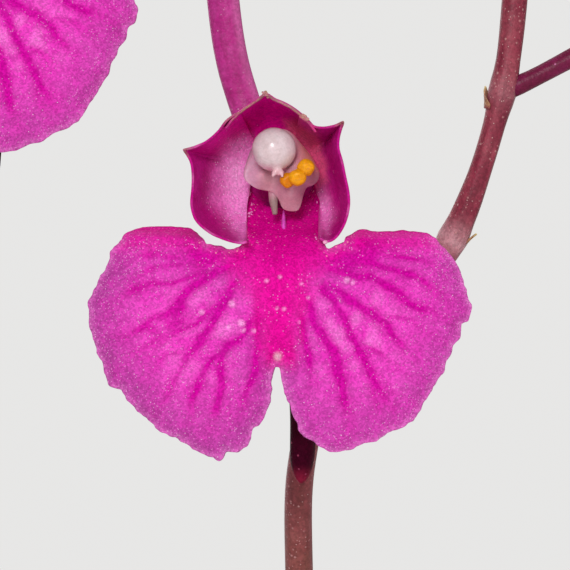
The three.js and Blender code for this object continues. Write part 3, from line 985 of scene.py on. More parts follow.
HOOD_SKIN = Finish(
    "hood_skin", (0.44, 0.004, 0.185), (0.52, 0.012, 0.25), mottle_size=1.0, grain_size=0.1,
    grain_depth=0.012, grain_light=0.14, rough=0.45, specular=0.02,
    tints=(
        # painted light: the vault's own deep crimson, lightened to offset the shade inside the hood
        Tint("deep", (0.76, 0.001, 0.32), 0.9),
        # painted highlight: a rose band down the right petal's inner side, next to the column
        Tint("band", (0.74, 0.095, 0.23), 0.9, 0.15, 0.6),
        Tint("patch", (0.86, 0.21, 0.63), 0.95, 0.3, 0.5),
        Tint("milk", (0.88, 0.46, 0.76), 0.5, 0.55, 0.3),
        Tint("blotch", (0.46, 0.0035, 0.19), 0.8, 0.6, 0.4),
        Tint("fold", (0.66, 0.2, 0.46), 0.5),
        Tint("dry", (0.36, 0.2, 0.13), 0.85, 0.75, 0.2),
    ),
    flecks=(
        # painted glints: pale dots that stand for the sparkle on the petals' pale patches
        Flecks(0.11, 0.0, (0.97, 0.62, 0.9), 0.45, "patch", 0.25, 0.75),
        Flecks(0.15, 0.02, (0.85, 0.3, 0.6), 0.35, "patch", 0.1, 0.8),
    ),
)
# painted shade: the spur's colour is near black, darker than its own maroon, for the shadow behind the lip;
# the rosy tint keeps the receptacle and side sepals in their own colour
SPUR_SKIN = Finish(
    "spur_skin", (0.03, 0.0007, 0.007), (0.046, 0.0012, 0.012), mottle_size=1.2, grain_size=0.14,
    grain_depth=0.01, grain_light=0.16, rough=0.4, specular=0.02,
    tints=(
        Tint("rosy", (0.42, 0.01, 0.19), 0.95),
        # painted highlight: a lighter red at the spur's rounded tip
        Tint("tip", (0.24, 0.012, 0.04), 0.85),
    ),
    flecks=(Flecks(0.2, 0.06, (0.32, 0.05, 0.11), 0.4),),
)
STALK_SKIN = Finish(
    "flower_stalk_skin", (0.38, 0.012, 0.18), (0.46, 0.04, 0.25), mottle_size=0.8, grain_size=0.12,
    grain_depth=0.012, grain_light=0.12, rough=0.42, specular=0.2,
    tints=(
        # painted highlight: a lighter pink on the side of the stalk that faces right and front, where the
        # fill light falls
        Tint("painted_lit_side", (0.62, 0.16, 0.4), 0.6, 0.25, 0.6),
        Tint("dusky", (0.12, 0.004, 0.028), 0.95, 0.15, 1.2),
    ),
    flecks=(Flecks(0.22, 0.05, (0.62, 0.2, 0.4), 0.35),),
    streaks=(Streaks(12, 10, (0.28, 0.01, 0.12), 0.5, 0.02),),
)
COLUMN_WAX = Finish(
    "column_wax", (0.56, 0.245, 0.33), (0.6, 0.3, 0.36), mottle_size=0.8, grain_size=0.1,
    grain_depth=0.005, grain_light=0.06, rough=0.38, specular=0.25, soft=0.3,
    soft_colour=(1.0, 0.45, 0.45),
    tints=(
        Tint("salmon", (0.76, 0.25, 0.21), 0.85),
        Tint("lilac", (0.6, 0.3, 0.45), 0.8),
        Tint("dull", (0.56, 0.25, 0.31), 0.7),
        Tint("green", (0.27, 0.19, 0.175), 0.85),
    ),
)
CAP_WAX = Finish(
    "anther_cap_wax", (0.7, 0.56, 0.59), (0.62, 0.48, 0.5), mottle_size=0.5, grain_size=0.09,
    grain_depth=0.004, grain_light=0.05, rough=0.22, specular=0.35, coat=0.2, soft=0.3,
    soft_colour=(1.0, 0.7, 0.7),
    tints=(Tint("blush", (0.7, 0.34, 0.4), 0.8, 0.2, 0.4),),
)
POLLEN_WAX = Finish(
    "pollinia_wax", (0.8, 0.34, 0.003), (0.72, 0.24, 0.002), mottle_size=0.4, grain_size=0.08,
    grain_depth=0.008, grain_light=0.1, rough=0.35, specular=0.2, soft=0.05,
    soft_colour=(1.0, 0.4, 0.05),
    tints=(Tint("shade", (0.62, 0.17, 0.001), 0.85),),
)
BUD_SKIN = Finish(
    "bud_skin", (0.5, 0.015, 0.26), (0.6, 0.06, 0.35), mottle_size=1.2, grain_size=0.13,
    grain_depth=0.012, grain_light=0.14, rough=0.42, specular=0.2,
    tints=(
        Tint("green", (0.23, 0.15, 0.07), 0.8, 0.5, 0.8),
        Tint("seam", (0.24, 0.003, 0.09), 0.8),
    ),
    flecks=(Flecks(0.24, 0.08, (0.8, 0.32, 0.58), 0.35),),
    streaks=(Streaks(14, 3, (0.36, 0.008, 0.17), 0.5, 0.02),),
)
FLOOR = Finish(
    "studio_floor", (0.8, 0.79, 0.775), (0.785, 0.775, 0.76), mottle_size=120, grain_size=4,
    grain_depth=0.02, grain_light=0.01, rough=0.85, specular=0.2,
)


# The pot and what fills it


@dataclass
class Pot:
    """A plain thrown clay pot with a rolled collar and drain holes."""

    height: float = 76.0
    foot: float = 30.0
    rim: float = 45.0
    collar: float = 17.0
    step: float = 2.6
    wall: float = 4.2
    floor: float = 6.0
    hole: float = 4.5
    ring: float = 16.0
    holes: int = 4
    crease: float = 40.0

    @property
    def under(self) -> float:
        """Height of the collar's lower edge."""
        return self.height - self.collar

    def inside(self, z: float) -> float:
        """Inside radius at a height.

        Args:
            z: the height.

        Returns:
            The radius.
        """
        neck = self.rim - self.step - self.wall
        share = (z - self.floor) / (self.under - self.floor)
        return mix(self.foot - self.wall + 1.0, neck - 1.0, share) if share < 1 else neck - 1.0

    def profile(self) -> Points:
        """The pot's section from the middle of its foot to the middle of its floor, corners rounded.

        Returns:
            Its points: radius and height.
        """
        neck = self.rim - self.step
        corners = [
            (0.0, 0.0, 0.0), (self.foot - 1.5, 0.0, 0.3), (self.foot, 1.5, 0.9),
            (neck - 1.0, self.under, 0.8), (self.rim - 1.0, self.under, 0.7),
            (self.rim, self.under + 1.2, 0.9), (self.rim + 0.6, self.height - 1.4, 1.3),
            (self.rim - 0.6, self.height, 1.0),
            (neck - self.wall + 1.8, self.height, 1.0), (neck - self.wall, self.height - 1.6, 1.2),
            (neck - self.wall - 1.0, self.under, 2.0), (self.foot - self.wall + 1.0, self.floor, 2.0),
            (0.0, self.floor, 0.0),
        ]
        line: list[Points] = []
        for i, (r, z, soft) in enumerate(corners):
            here = np.array([r, z])
            if soft == 0.0:
                line.append(here)
                continue
            ends = []
            for other in (corners[i - 1], corners[i + 1]):
                away = np.array(other[:2]) - here
                ends.append(here + away * min(0.45, soft / np.linalg.norm(away)))
            for t in (0.0, 0.25, 0.5, 0.75, 1.0):
                line.append((1 - t) ** 2 * ends[0] + 2 * t * (1 - t) * here + t**2 * ends[1])
        fine = [line[0]]
        for point in line[1:]:
            steps = max(1, round(float(np.linalg.norm(point - fine[-1])) / 1.3))
            start = fine[-1]
            fine.extend(mix(start, point, k / steps) for k in range(1, steps + 1))
        return np.array(fine)

    def build(self) -> None:
        """Throws the pot, drills its drain holes and dresses it."""
        line = self.profile()
        rows = len(line) - 1

        def shape(u: Points, v: Points) -> Points:
            """Throws the wall.

            Args:
                u: shares across.
                v: shares along.

            Returns:
                The points.
            """
            r, z = line[np.rint(v * rows).astype(int)].T
            angle = 2.0 * math.pi * u
            outer = smooth(1.5, 4.0, z) * (np.rint(v * rows) < rows * 0.62)
            rings = 0.09 * np.sin(2.6 * z + 0.8 * np.sin(angle)) + 0.06 * np.sin(1.1 * z + 1.0)
            slow = 0.22 * np.sin(2 * angle + 0.05 * z) + 0.12 * np.sin(5 * angle + 0.3 * z)
            r = r + np.where(r > 8.0, outer * (rings + slow) * 0.8, 0.0)
            lift = 0.18 * np.sin(3 * angle + 1.0) * smooth(self.height - 3.0, self.height, z)
            return stack(r * np.cos(angle), r * np.sin(angle), z + lift - 0.18 * (lift != 0))

        piece = sheet("clay_pot", 112, rows, shape)
        weld(piece)
        for i in range(self.holes):
            angle = math.radians(45 + 360 / self.holes * i)
            spot = (self.ring * math.cos(angle), self.ring * math.sin(angle), self.floor / 2)
            pick()
            bpy.ops.mesh.primitive_cylinder_add(vertices=40, radius=self.hole, depth=18, location=spot)
            drill = bpy.context.active_object
            bpy.ops.object.transform_apply(location=True, rotation=True, scale=True)
            modifier = piece.modifiers.new("drain", "BOOLEAN")
            modifier.object = drill
            settle(piece)
            bpy.data.objects.remove(drill)
        points = read(piece)
        z, r = points[:, 2], np.hypot(points[:, 0], points[:, 1])
        blots = ripple(points, 16.0, 3)
        mark(
            piece,
            damp=smooth(26, 4, z) * 0.8 + smooth(0.25, 0.6, blots) * 0.35,
            lime=smooth(0.0, 0.5, ripple(points, 11.0, 5)) * (smooth(66, 50, z) + 0.25),
            moss=smooth(0.1, 0.45, ripple(points, 13.0, 8)) * (smooth(14, 3, z) + (r < 39) * 0.6),
        )
        dress(piece, TERRACOTTA)
        bpy.context.view_layer.update()
        pick(piece)
        bpy.ops.object.shade_smooth_by_angle(angle=math.radians(self.crease))
        deliver(piece, "clay", "pot")


@dataclass
class Medium:
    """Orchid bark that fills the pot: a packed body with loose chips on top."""

    pot: Pot
    top: float = 66.0
    dome: float = 3.0
    chips: int = 17
    chip_long: float = 16.0
    chip_thick: float = 6.5
    loose: int = 95
    kinds: int = 6
    crease: float = 38.0
    seed: int = 7
    state: int = field(init=False, default=0)

    def draw(self) -> float:
        """The next number of the same row of draws that the solids use."""
        self.state = (self.state * 1664525 + 1013904223) % 4294967296
        return self.state / 4294967296

    def height(self, share: float) -> float:
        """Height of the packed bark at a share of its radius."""
        return self.top + self.dome * (1 - share * share)

    def body(self) -> Piece:
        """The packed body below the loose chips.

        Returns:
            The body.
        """
        bottom = self.pot.floor + 0.4
        low, high = self.pot.inside(bottom) - 0.5, self.pot.inside(self.pot.under) - 0.5
        line = [(0.0, bottom), (low, bottom), (high, self.pot.under), (high, self.top - 2.2)]
        line += [(high * s, self.height(s) - 2.0) for s in (0.97, 0.85, 0.7, 0.55, 0.4, 0.25, 0.1, 0.0)]
        line_points = np.array(line)
        rows = len(line) - 1

        def shape(u: Points, v: Points) -> Points:
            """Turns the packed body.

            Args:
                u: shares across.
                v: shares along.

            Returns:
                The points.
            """
            r, z = line_points[np.rint(v * rows).astype(int)].T
            angle = 2.0 * math.pi * u
            return stack(r * np.cos(angle), r * np.sin(angle), z)

        piece = sheet("bark_body", 64, rows, shape)
        weld(piece)
        refine(piece)
        points = read(piece)
        points[:, 2] += 0.7 * ripple(points, 4.0, 2) * (points[:, 2] > self.top - 3.0)
        write(piece, points)
        mark(piece, tone=0.1, moss=0.1)
        return piece

    def blank(self, number: int) -> Piece:
        """One rough chip, a unit long, wide and thick.

        Args:
            number: which chip.

        Returns:
            The chip.
        """
        pick()
        bpy.ops.mesh.primitive_cube_add(size=1.0)
        piece = bpy.context.active_object
        bpy.ops.object.mode_set(mode="EDIT")
        bpy.ops.mesh.select_all(action="SELECT")
        bpy.ops.mesh.bevel(offset=0.09, segments=1, affect="EDGES")
        bpy.ops.mesh.select_all(action="SELECT")
        bpy.ops.mesh.subdivide(number_cuts=2)
        bpy.ops.object.mode_set(mode="OBJECT")
        points = read(piece)
        flakes = np.floor(4.0 * (points[:, 2] + 0.5) + 1.5 * ripple(points, 0.8, number)) % 2
        points[:, :2] *= (1.0 - 0.09 * flakes)[:, None]
        for axis in range(3):
            points[:, axis] += 0.085 * ripple(points, 0.35, 10 * number + axis)
            points[:, axis] += 0.12 * ripple(points, 0.9, 10 * number + 5 + axis)
        write(piece, points)
        return piece

    def chip(self, long: float, thick: float) -> Matrix:
        """Size, skew and tilt of one chip, drawn as the solids draw them.

        Args:
            long: length of the chip.
            thick: thickness of the thickest chips.

        Returns:
            The chip's matrix, before it is moved to its place.
        """
        wide = long * mix(0.5, 0.8, self.draw())
        high = thick * mix(0.6, 1.0, self.draw())
        for _ in range(6):
            self.draw()
        tilt = [mix(-0.5, 0.5, self.draw()), mix(-0.5, 0.5, self.draw()), self.draw() * 6.3]
        turn = Matrix.Rotation(tilt[0], 4, "X") @ Matrix.Rotation(tilt[1], 4, "Y")
        turn = turn @ Matrix.Rotation(tilt[2], 4, "Z")
        return turn @ Matrix.Diagonal((long, wide, high, 1.0))

    def build(self) -> None:
        """Packs the pot with bark and lays the loose chips."""
        self.state = self.seed
        reach = self.pot.inside(self.pot.under) - 0.5
        blanks = [self.blank(k) for k in range(self.kinds)]
        parts = [self.body()]
        golden = math.radians(137.5)
        places: list[tuple[Matrix, int]] = []
        for large, count in ((True, self.chips), (False, self.loose)):
            for i in range(count):
                share = math.sqrt((i + 0.5) / count)
                size = self.draw()
                long = self.chip_long * mix(0.6, 1.0, size) if large else mix(5.0, 11.0, size)
                radius = share * (reach - (0.75 if large else 0.62) * long)
                angle = golden * i * (1.0 if large else 1.7) + (0.5 if large else 1.0) * self.draw()
                matrix = self.chip(long, self.chip_thick if large else 0.42 * long)
                height = self.height(share) + mix(*((-0.5, 1.6) if large else (-1.4, 1.2)), self.draw())
                move = Matrix.Translation((radius * math.cos(angle), radius * math.sin(angle), height))
                places.append((move @ matrix, i if large else i + 3))
        for i, (matrix, kind) in enumerate(places):
            part = place(twin(blanks[kind % self.kinds], f"chip_{i}"), matrix)
            mossy = smooth(0.0, 0.4, ripple(read(part), 15.0, 4)) * smooth(-0.2, 0.8, outwards(part)[:, 2])
            mark(part, tone=self.draw(), moss=mossy)
            parts.append(part)
        for blank in blanks:
            bpy.data.objects.remove(blank)
        piece = joined("bark_medium", parts)
        dress(piece, BARK)
        pick(piece)
        bpy.ops.object.shade_smooth_by_angle(angle=math.radians(self.crease))
        deliver(piece, "bark", "bark")


# The shoots


@dataclass
class Shoot:
    """One growth: a pseudobulb with its dry sheath and its leaf.

    Args:
        number: counted from 1.
        foot: where it stands.
        lean: how far its crown lies beside its foot.
        points: which way its leaf points.
        length: length of the leaf.
        rise: how steeply the leaf starts and ends.
        scale: size beside a full growth.
    """

    number: int
    foot: tuple[float, float]
    lean: tuple[float, float]
    points: float
    length: float
    rise: tuple[float, float]
    scale: float
    bulb_foot: float = 62.0
    height: float = 29.0
    width: float = 11.0
    depth: float = 8.0
    blade: float = 27.0
    stalk: float = 4.6
    leaf_thick: float = 1.05
    sheath_thick: float = 0.28
    sheath_top: float = 0.62
    sheath_level: float = 5.5
    ribs: int = 9

    @staticmethod
    def profile(t: Points) -> Points:
        """Radius of the pseudobulb from foot to crown, as a share of its half width."""
        t = np.clip(t, 0.0, 1.0)
        return np.maximum(0.16, np.sin(math.pi * mix(0.16, 0.97, t**0.9)) ** 0.75)

    def stand(self, x: Points, y: Points, t: Points) -> Points:
        """Puts a section of the pseudobulb in its place.

        Args:
            x: along the section's width.
            y: along its depth.
            t: share of the height.

        Returns:
            The points.
        """
        turn = math.radians(self.points + 90)
        return stack(
            self.foot[0] + self.lean[0] * t + x * math.cos(turn) - y * math.sin(turn),
            self.foot[1] + self.lean[1] * t + x * math.sin(turn) + y * math.cos(turn),
            self.bulb_foot + t * self.height * self.scale,
        )

    def bulb(self) -> None:
        """Grows the ribbed pseudobulb."""
        columns, rows = 72, 46

        def shape(u: Points, v: Points) -> Points:
            """Lays the ribbed skin.

            Args:
                u: shares across.
                v: shares along.

            Returns:
                The points.
            """
            row = np.rint(v * rows)
            t = np.clip((row - 1) / (rows - 2), 0, 1)
            angle = 2 * math.pi * u
            shrunk = 1.0 - 0.055 * np.abs(np.cos(0.5 * self.ribs * angle + 0.6 * t)) ** 6
            shrunk = shrunk + 0.012 * np.sin(23 * angle + 5 * t)
            waist = 1.0 - 0.1 * bell((t - 0.955) / 0.012)
            ribbed = mix(1.0, shrunk * 1.02, smooth(0.05, 0.3, t) * smooth(1.0, 0.88, t))
            r = self.profile(t) * ribbed * waist * ((row > 0) & (row < rows)) * self.scale / 2
            return self.stand(self.width * r * np.cos(angle), self.depth * r * np.sin(angle), t)

        piece = sheet(f"pseudobulb_grown_{self.number}", columns, rows, shape)
        around, t = shares(columns, rows)
        # painted shade: the groove mark darkens the rib grooves, where shade falls
        groove = np.abs(np.cos(math.pi * self.ribs * around + 0.6 * t)) ** 6
        mark(
            piece,
            groove=groove * smooth(0.05, 0.3, t),
            flush=smooth(0.5, 1.0, t) + 0.25 * smooth(0.0, 0.4, ripple(read(piece), 7.0, self.number)),
            scar=smooth(0.93, 0.955, t) * smooth(0.985, 0.96, t) + smooth(0.16, 0.05, t) * 0.6,
        )
        weld(piece)
        points = read(piece)
        write(piece, points + 0.16 * ripple(points, 5.0, self.number)[:, None] * outwards(piece))
        deliver(dress(piece, BULB_SKIN), "pseudobulb", f"pseudobulb_{self.number}")

    @staticmethod
    def outline(t: Points) -> Points:
        """Half width of the leaf along its length, as a share of the widest."""
        body = np.sin(math.pi * np.minimum(1.0, 0.04 + 0.96 * t**0.82)) ** 0.8
        return np.maximum(body * smooth(0.0, 0.3, t + 0.06), 0.05)

    def leaf(self) -> None:
        """Grows the leathery leaf on the pseudobulb's crown."""
        heading = np.array([math.cos(math.radians(self.points)), math.sin(math.radians(self.points)), 0.0])
        sideways = np.array([-heading[1], heading[0], 0.0])
        crown = self.bulb_foot + self.height * self.scale + 0.4
        steps = 12
        start = np.array([self.foot[0] + self.lean[0], self.foot[1] + self.lean[1], crown])
        middle = [start]
        for i in range(steps):
            slope = math.radians(mix(self.rise[0], self.rise[1], ((i + 0.5) / steps) ** 1.2))
            run = heading * math.cos(slope) + np.array([0.0, 0.0, math.sin(slope)])
            middle.append(middle[-1] + run * self.length / steps)
        spine = Way([start - [0.0, 0.0, 1.9], *middle])
        wide = self.blade * self.scale / 2

        def shape(u: Points, v: Points) -> Points:
            """Lays the folded blade.

            Args:
                u: shares across.
                v: shares along.

            Returns:
                The points.
            """
            across = 2 * u - 1
            stalk = 0.5 + 0.4 * self.stalk * (1 - smooth(0.5, 1.0, v))
            half = np.maximum(wide * self.outline(v), stalk) * mix(1.0, 0.35, smooth(0.965, 1.0, v))
            half = half * mix(0.42, 1.0, smooth(0.0, 0.08, v))
            ups = unit(np.cross(spine.heading(v), sideways))
            fold = 0.2 * half * (np.abs(across) ** 1.15) * (1 + 1.6 * (1 - smooth(0.0, 0.35, v)))
            wave = np.sin(9.0 * v + self.number) * np.sign(across) + 0.6 * np.sin(17.0 * v + 2 * self.number)
            wave = 0.45 * across**2 * wave * smooth(0.1, 0.4, v)
            groove = -0.45 * bell(across / 0.07) * smooth(1.0, 0.8, v)
            nerves = 0.05 * np.cos(7 * math.pi * across)
            lift = (fold + wave + groove + nerves * smooth(0.0, 0.2, 1 - v))[:, None]
            return spine.along(v) + (across * half)[:, None] * sideways + lift * ups

        grid = (20, 44)
        piece = sheet(f"leaf_blade_{self.number}", *grid, shape)
        u, v = shares(*grid)
        across = np.abs(2 * u - 1)
        mark(
            piece,
            midrib=bell(across / 0.045) * smooth(1.0, 0.7, v),
            margin=smooth(0.9, 1.0, across),
            tip=smooth(0.955, 1.0, v),
            blush=smooth(0.25, 0.0, v) + 0.3 * smooth(0.7, 1.0, across),
        )
        ups = outwards(piece)
        turned_over = np.sign(np.median(ups[:, 2])) or 1.0
        thicken(piece, self.leaf_thick, mix(1.0, 0.42, across**3) * mix(1.0, 0.6, smooth(0.8, 1.0, v)))
        count = len(ups)
        facing = outwards(piece)[: 2 * count]
        reference = np.vstack([ups, ups])[: len(facing)] * turned_over
        under = np.zeros(len(piece.data.vertices))
        under[: len(facing)] = (np.sum(facing * reference, axis=1) < 0).astype(float)
        mark(piece, under=under)
        refine(piece)
        deliver(dress(piece, LEAF_SKIN), "leaf", f"leaf_{self.number}")

    def sheath(self) -> None:
        """Wraps the dry papery sheath round the pseudobulb's foot."""
        low = self.sheath_level / (self.height * self.scale)

        def shape(u: Points, v: Points) -> Points:
            """Lays the torn wrap.

            Args:
                u: shares across.
                v: shares along.

            Returns:
                The points.
            """
            spots = stack(u * 30, 0 * u, 0 * u)
            torn = 0.05 * ripple(spots, 1.3, self.number) + 0.04 * ripple(spots, 4.0, self.number + 9)
            top = self.sheath_top * (1 - 0.55 * np.abs(2 * u - 1) ** 2) * (1 + torn * 2)
            t = mix(low, top, v)
            angle = np.radians(mix(-130, 130, u))
            flare = 0.75 + 0.9 * v**2 + 0.25 * np.sin(11 * angle + self.number) * v
            r = self.profile(t) * self.scale / 2
            wide, deep = self.width * r + flare, self.depth * r + flare
            return self.stand(wide * np.cos(angle), deep * np.sin(angle), t)

        grid = (40, 12)
        piece = sheet(f"sheath_paper_{self.number}", *grid, shape)
        v = shares(*grid)[1]
        mark(piece, torn=smooth(0.8, 1.0, v) + smooth(0.25, 0.0, v))
        thicken(piece, self.sheath_thick)
        refine(piece)
        deliver(dress(piece, SHEATH_PAPER), "sheath", f"sheath_{self.number}")

    def build(self) -> None:
        """Grows the whole shoot."""
        self.bulb()
        self.leaf()
        self.sheath()


SHOOTS = (
    Shoot(1, (-27, 12), (-5, 2), 158, 92, (66, 2), 0.95),
    Shoot(2, (-12, 18), (-1, 3), 112, 98, (74, 14), 1.05),
    Shoot(3, (4, 16), (2, 3), 58, 90, (70, 6), 1.0),
    Shoot(4, (19, 9), (4, 1), 12, 96, (64, -4), 1.05),
    Shoot(5, (-21, -7), (-4, -2), 214, 84, (62, 0), 0.9),
    Shoot(6, (20, -11), (3, -2), 322, 78, (58, -8), 0.85),
)


@dataclass
class Roots:
    """The rhizome that joins the shoots, and the thick pale roots that it sends over the bark."""

    order: tuple[int, ...] = (4, 0, 1, 2, 3, 5)
    level: float = 59.0
    rhizome: float = 2.0
    radius: float = 1.1
    tip: float = 0.6
    seed: int = 0
    ways: tuple[tuple[int, Line], ...] = (
        (0, ((-33.5, 8, 60), (-34, 0, 67.6), (-33, -8, 69.2), (-30, -17, 68.2), (-24, -25, 60))),
        (1, ((-13, 9.5, 60), (-12, 3, 70), (-9, -5, 73.4), (-9, -15, 72), (-4, -25, 69.6), (2, -31, 60))),
        (
            3,
            (
                (26, 5, 60), (30, 1, 69.6), (34.5, -2, 74.2), (38.6, -5, 76.9), (43.5, -7, 77.3),
                (47.0, -9, 75.6), (47.6, -10, 69.4), (46.6, -9, 54),
            ),
        ),
    )

    def knots(self, t: Points, angle: Points) -> Points:
        """Radius of the knotty rhizome."""
        return self.rhizome * (1 + 0.12 * np.sin(60 * t) + 0.05 * np.sin(3 * angle))

    def root_radius(self, t: Points, angle: Points) -> Points:
        """Radius of a lumpy root with a round tip.

        Args:
            t: shares of the length.
            angle: angles about it.

        Returns:
            The radii.
        """
        end = np.sqrt(np.clip((1.0 - t) / 0.02, 0.04, 1.0))
        lumps = 1 + 0.07 * np.sin(31 * t + self.seed) + 0.05 * np.sin(67 * t + 2 * angle)
        return mix(self.radius, self.tip, t) * lumps * end

    def build(self) -> None:
        """Grows the rhizome and its roots as one piece."""
        feet = [(*SHOOTS[shoot].foot, self.level) for shoot in self.order]
        parts = [tube("rhizome", Way(feet), self.knots, 16, 80)]
        mark(parts[0], tip=0.0)
        for number, (shoot, way) in enumerate(self.ways):
            self.seed = number
            line = Way([(*SHOOTS[shoot].foot, self.level), *way])
            root = tube(f"root_{number}", line, self.root_radius, 16, 110)
            along = marked(root, "along")
            mark(root, tip=smooth(0.93, 0.97, along))
            parts.append(root)
        piece = joined("rhizome_with_roots", parts)
        points = read(piece)
        dirt = 0.3 * smooth(0, 0.5, ripple(points, 4, 6))
        mark(piece, soiled=smooth(70.0, 64.0, points[:, 2]) * 0.9 + dirt)
        deliver(dress(piece, ROOT_SKIN), "root", "rhizome_and_roots")


# Flower stems


class Side(Enum):
    """Which of the two flower stems."""

    LEFT = "left"
    RIGHT = "right"


@dataclass
class FlowerStem:
    """A thin arching stem with a joint and a bract below each flower stalk.

    Args:
        side: which stem it is.
        points: the points on its way from the bark to its tip.
        bracts: shares of its length with a bract on the bare lower part.
        joints: shares of its length where a flower or bud stalk leaves.
        pale_joint: share of its length with the pale swollen joint that the close view shows.
        green: the shares between which its red skin turns green, downwards.
    """

    side: Side
    points: Line
    bracts: tuple[float, ...]
    joints: tuple[float, ...]
    pale_joint: float | None = None
    green: tuple[float, float] = (0.34, 0.08)
    foot: float = 1.05
    tip: float = 0.5
    bract_thick: float = 0.12

    def __post_init__(self) -> None:
        """Lays the stem's line once."""
        self.way = Way(self.points)

    def radius(self, t: Points) -> Points:
        """Radius of the stem without its joints."""
        return mix(self.foot, self.tip, t)

    def full_radius(self, t: Points, angle: Points) -> Points:
        """Radius of the stem with its swollen joints and a blunt tip.

        Args:
            t: shares of the length.
            angle: angles about it.

        Returns:
            The radii.
        """
        swell = np.zeros_like(t)
        for joint in (*self.bracts, *self.joints):
            swell = swell + 0.16 * bell((t - joint) * self.way.lengths[-1] / 1.1)
        lean = np.zeros_like(t)
        if self.pale_joint is not None:
            gap = (t - self.pale_joint) * self.way.lengths[-1]
            swell = swell + 0.13 * bell(gap / 0.7)
            lean = -0.16 * smooth(1.0, 4.5, gap) * smooth(14.0, 6.0, gap)
        ribs = 0.02 * np.sin(5 * angle + 9 * t)
        end = np.sqrt(np.clip((1.0 - t) / 0.003, 0.05, 1.0))
        return (self.radius(t) * (1 + lean) + swell + ribs) * end

    def bract(self, share: float, turn: float, long: float, wrap: float = 115) -> Piece:
        """A small boat-shaped scale that clasps the stem.

        Args:
            share: where on the stem.
            turn: on which side of it, in degrees.
            long: its length.
            wrap: how far it reaches round the stem to either side, in degrees.

        Returns:
            The bract.
        """
        centre, heading = self.way.along(share)[0], self.way.heading(share)[0]
        across = unit(np.cross(heading, [0.1, -0.9, 0.2]))
        other = np.cross(heading, across)
        inner = float(self.radius(share)) + 0.04
        flare = 0.55 * min(1.0, long / 3)

        def shape(u: Points, v: Points) -> Points:
            """Lays the scale.

            Args:
                u: shares across.
                v: shares along.

            Returns:
                The points.
            """
            side = 2 * u - 1
            angle = np.radians(turn) + np.radians(wrap) * side * (1 - smooth(0.25, 1.05, v) * 0.97)
            out = inner + 0.14 * v + flare * (v**2.2 - 0.27 * side**2 * v)
            ring = np.cos(angle)[:, None] * across + np.sin(angle)[:, None] * other
            rise = (long * (v * (1 - 0.22 * side**2)) - min(0.6, 0.3 * long))[:, None]
            return centre + rise * heading + out[:, None] * ring

        grid = (8, 9)
        piece = sheet("bract", *grid, shape)
        v = shares(*grid)[1]
        mark(piece, bract=smooth(0.0, 0.3, v), bract_tip=smooth(0.72, 1.0, v), green=0.0, joint=0.0)
        thicken(piece, self.bract_thick)
        refine(piece)
        return piece

    def build(self) -> None:
        """Grows the stem with its joints and bracts."""
        stem = tube(f"stem_{self.side.value}", self.way, self.full_radius, 18, 420)
        along = marked(stem, "along")
        mark(stem, green=smooth(*self.green, along))
        joint = np.zeros(len(along))
        for share in (*self.bracts, *self.joints):
            joint += 0.25 * bell((along - share) * self.way.lengths[-1] / 0.7)
        if self.pale_joint is not None:
            joint += bell((along - self.pale_joint) * self.way.lengths[-1] / 0.75)
        mark(stem, joint=np.clip(joint, 0, 1))
        mark(stem, bract=0.0, bract_tip=0.0)
        parts = [stem]
        parts += [self.bract(share, 60 + 140 * i, 4.2) for i, share in enumerate(self.bracts)]
        parts += [self.bract(share - 0.003, 150 + 60 * i, 1.2, 80) for i, share in enumerate(self.joints)]
        if self.pale_joint is not None:
            parts.append(self.bract(self.pale_joint + 0.001, -5, 0.8, 22))
        piece = joined(f"stem_{self.side.value}_with_bracts", parts)
        deliver(dress(piece, STEM_SKIN), "stem", f"flower_stem_{self.side.value}")


LEFT_STEM = FlowerStem(
    Side.LEFT,
    (
        (-15, 2, 58), (-17, 2, 72), (-23, 3, 105), (-34, -1, 152), (-43, -13, 198), (-41.5, -31, 225),
        (-30, -47, 235.5), (-14.7, -57, 230), (-0.6, -60, 220.4), (7, -62, 216.5), (14, -64.5, 215.5),
    ),
    (0.2, 0.42),
    (0.54, 0.654, 0.791, 0.867, 0.936, 0.965, 0.985),
)
RIGHT_STEM = FlowerStem(
    Side.RIGHT,
    (
        (9, -3, 58), (9, -5, 72), (7, -14, 105), (5.4, -28, 142), (5.2, -41.5, 171), (5.3, -46.5, 179.3),
        (6.6, -49.4, 183.6), (10.2, -50.8, 187), (13.4, -53.1, 191.2), (16.1, -54.6, 199.1),
        (17.2, -55, 208), (19.5, -52.5, 220), (26, -47, 232), (38, -40, 240), (53, -33, 241.5),
        (66, -27, 236), (74, -23, 229),
    ),
    (0.2, 0.4),
    (0.617, 0.703, 0.791, 0.858, 0.954),
    pale_joint=0.5835,
    green=(0.56, 0.36),
)


# Blooms, in their own frame: x to the viewer's right, y away from the viewer, z up


def nearest(points: Points, line: Points) -> tuple[Points, Points]:
    """Finds the place of a line that is nearest to each point, in the plane.

    Args:
        points: the points, two numbers each.
        line: the line's corners, two numbers each.

    Returns:
        The distances, and the places.
    """
    far, feet = np.full(len(points), FAR), points.copy()
    for start, end in zip(line[:-1], line[1:]):
        run = end - start
        share = np.clip((points - start) @ run / max(run @ run, 1e-12), 0.0, 1.0)
        foot = start + share[:, None] * run
        away = np.linalg.norm(points - foot, axis=1)
        better = away < far
        far[better], feet[better] = away[better], foot[better]
    return far, feet


def beside(points: Points, line: Points) -> Points:
    """How far points lie from a line, in the plane."""
    return nearest(points, line)[0]


def raised(spots: Points) -> Points:
    """Puts flat places upright, in the plane of the bloom."""
    return stack(spots[:, 0], 0.0, spots[:, 1])


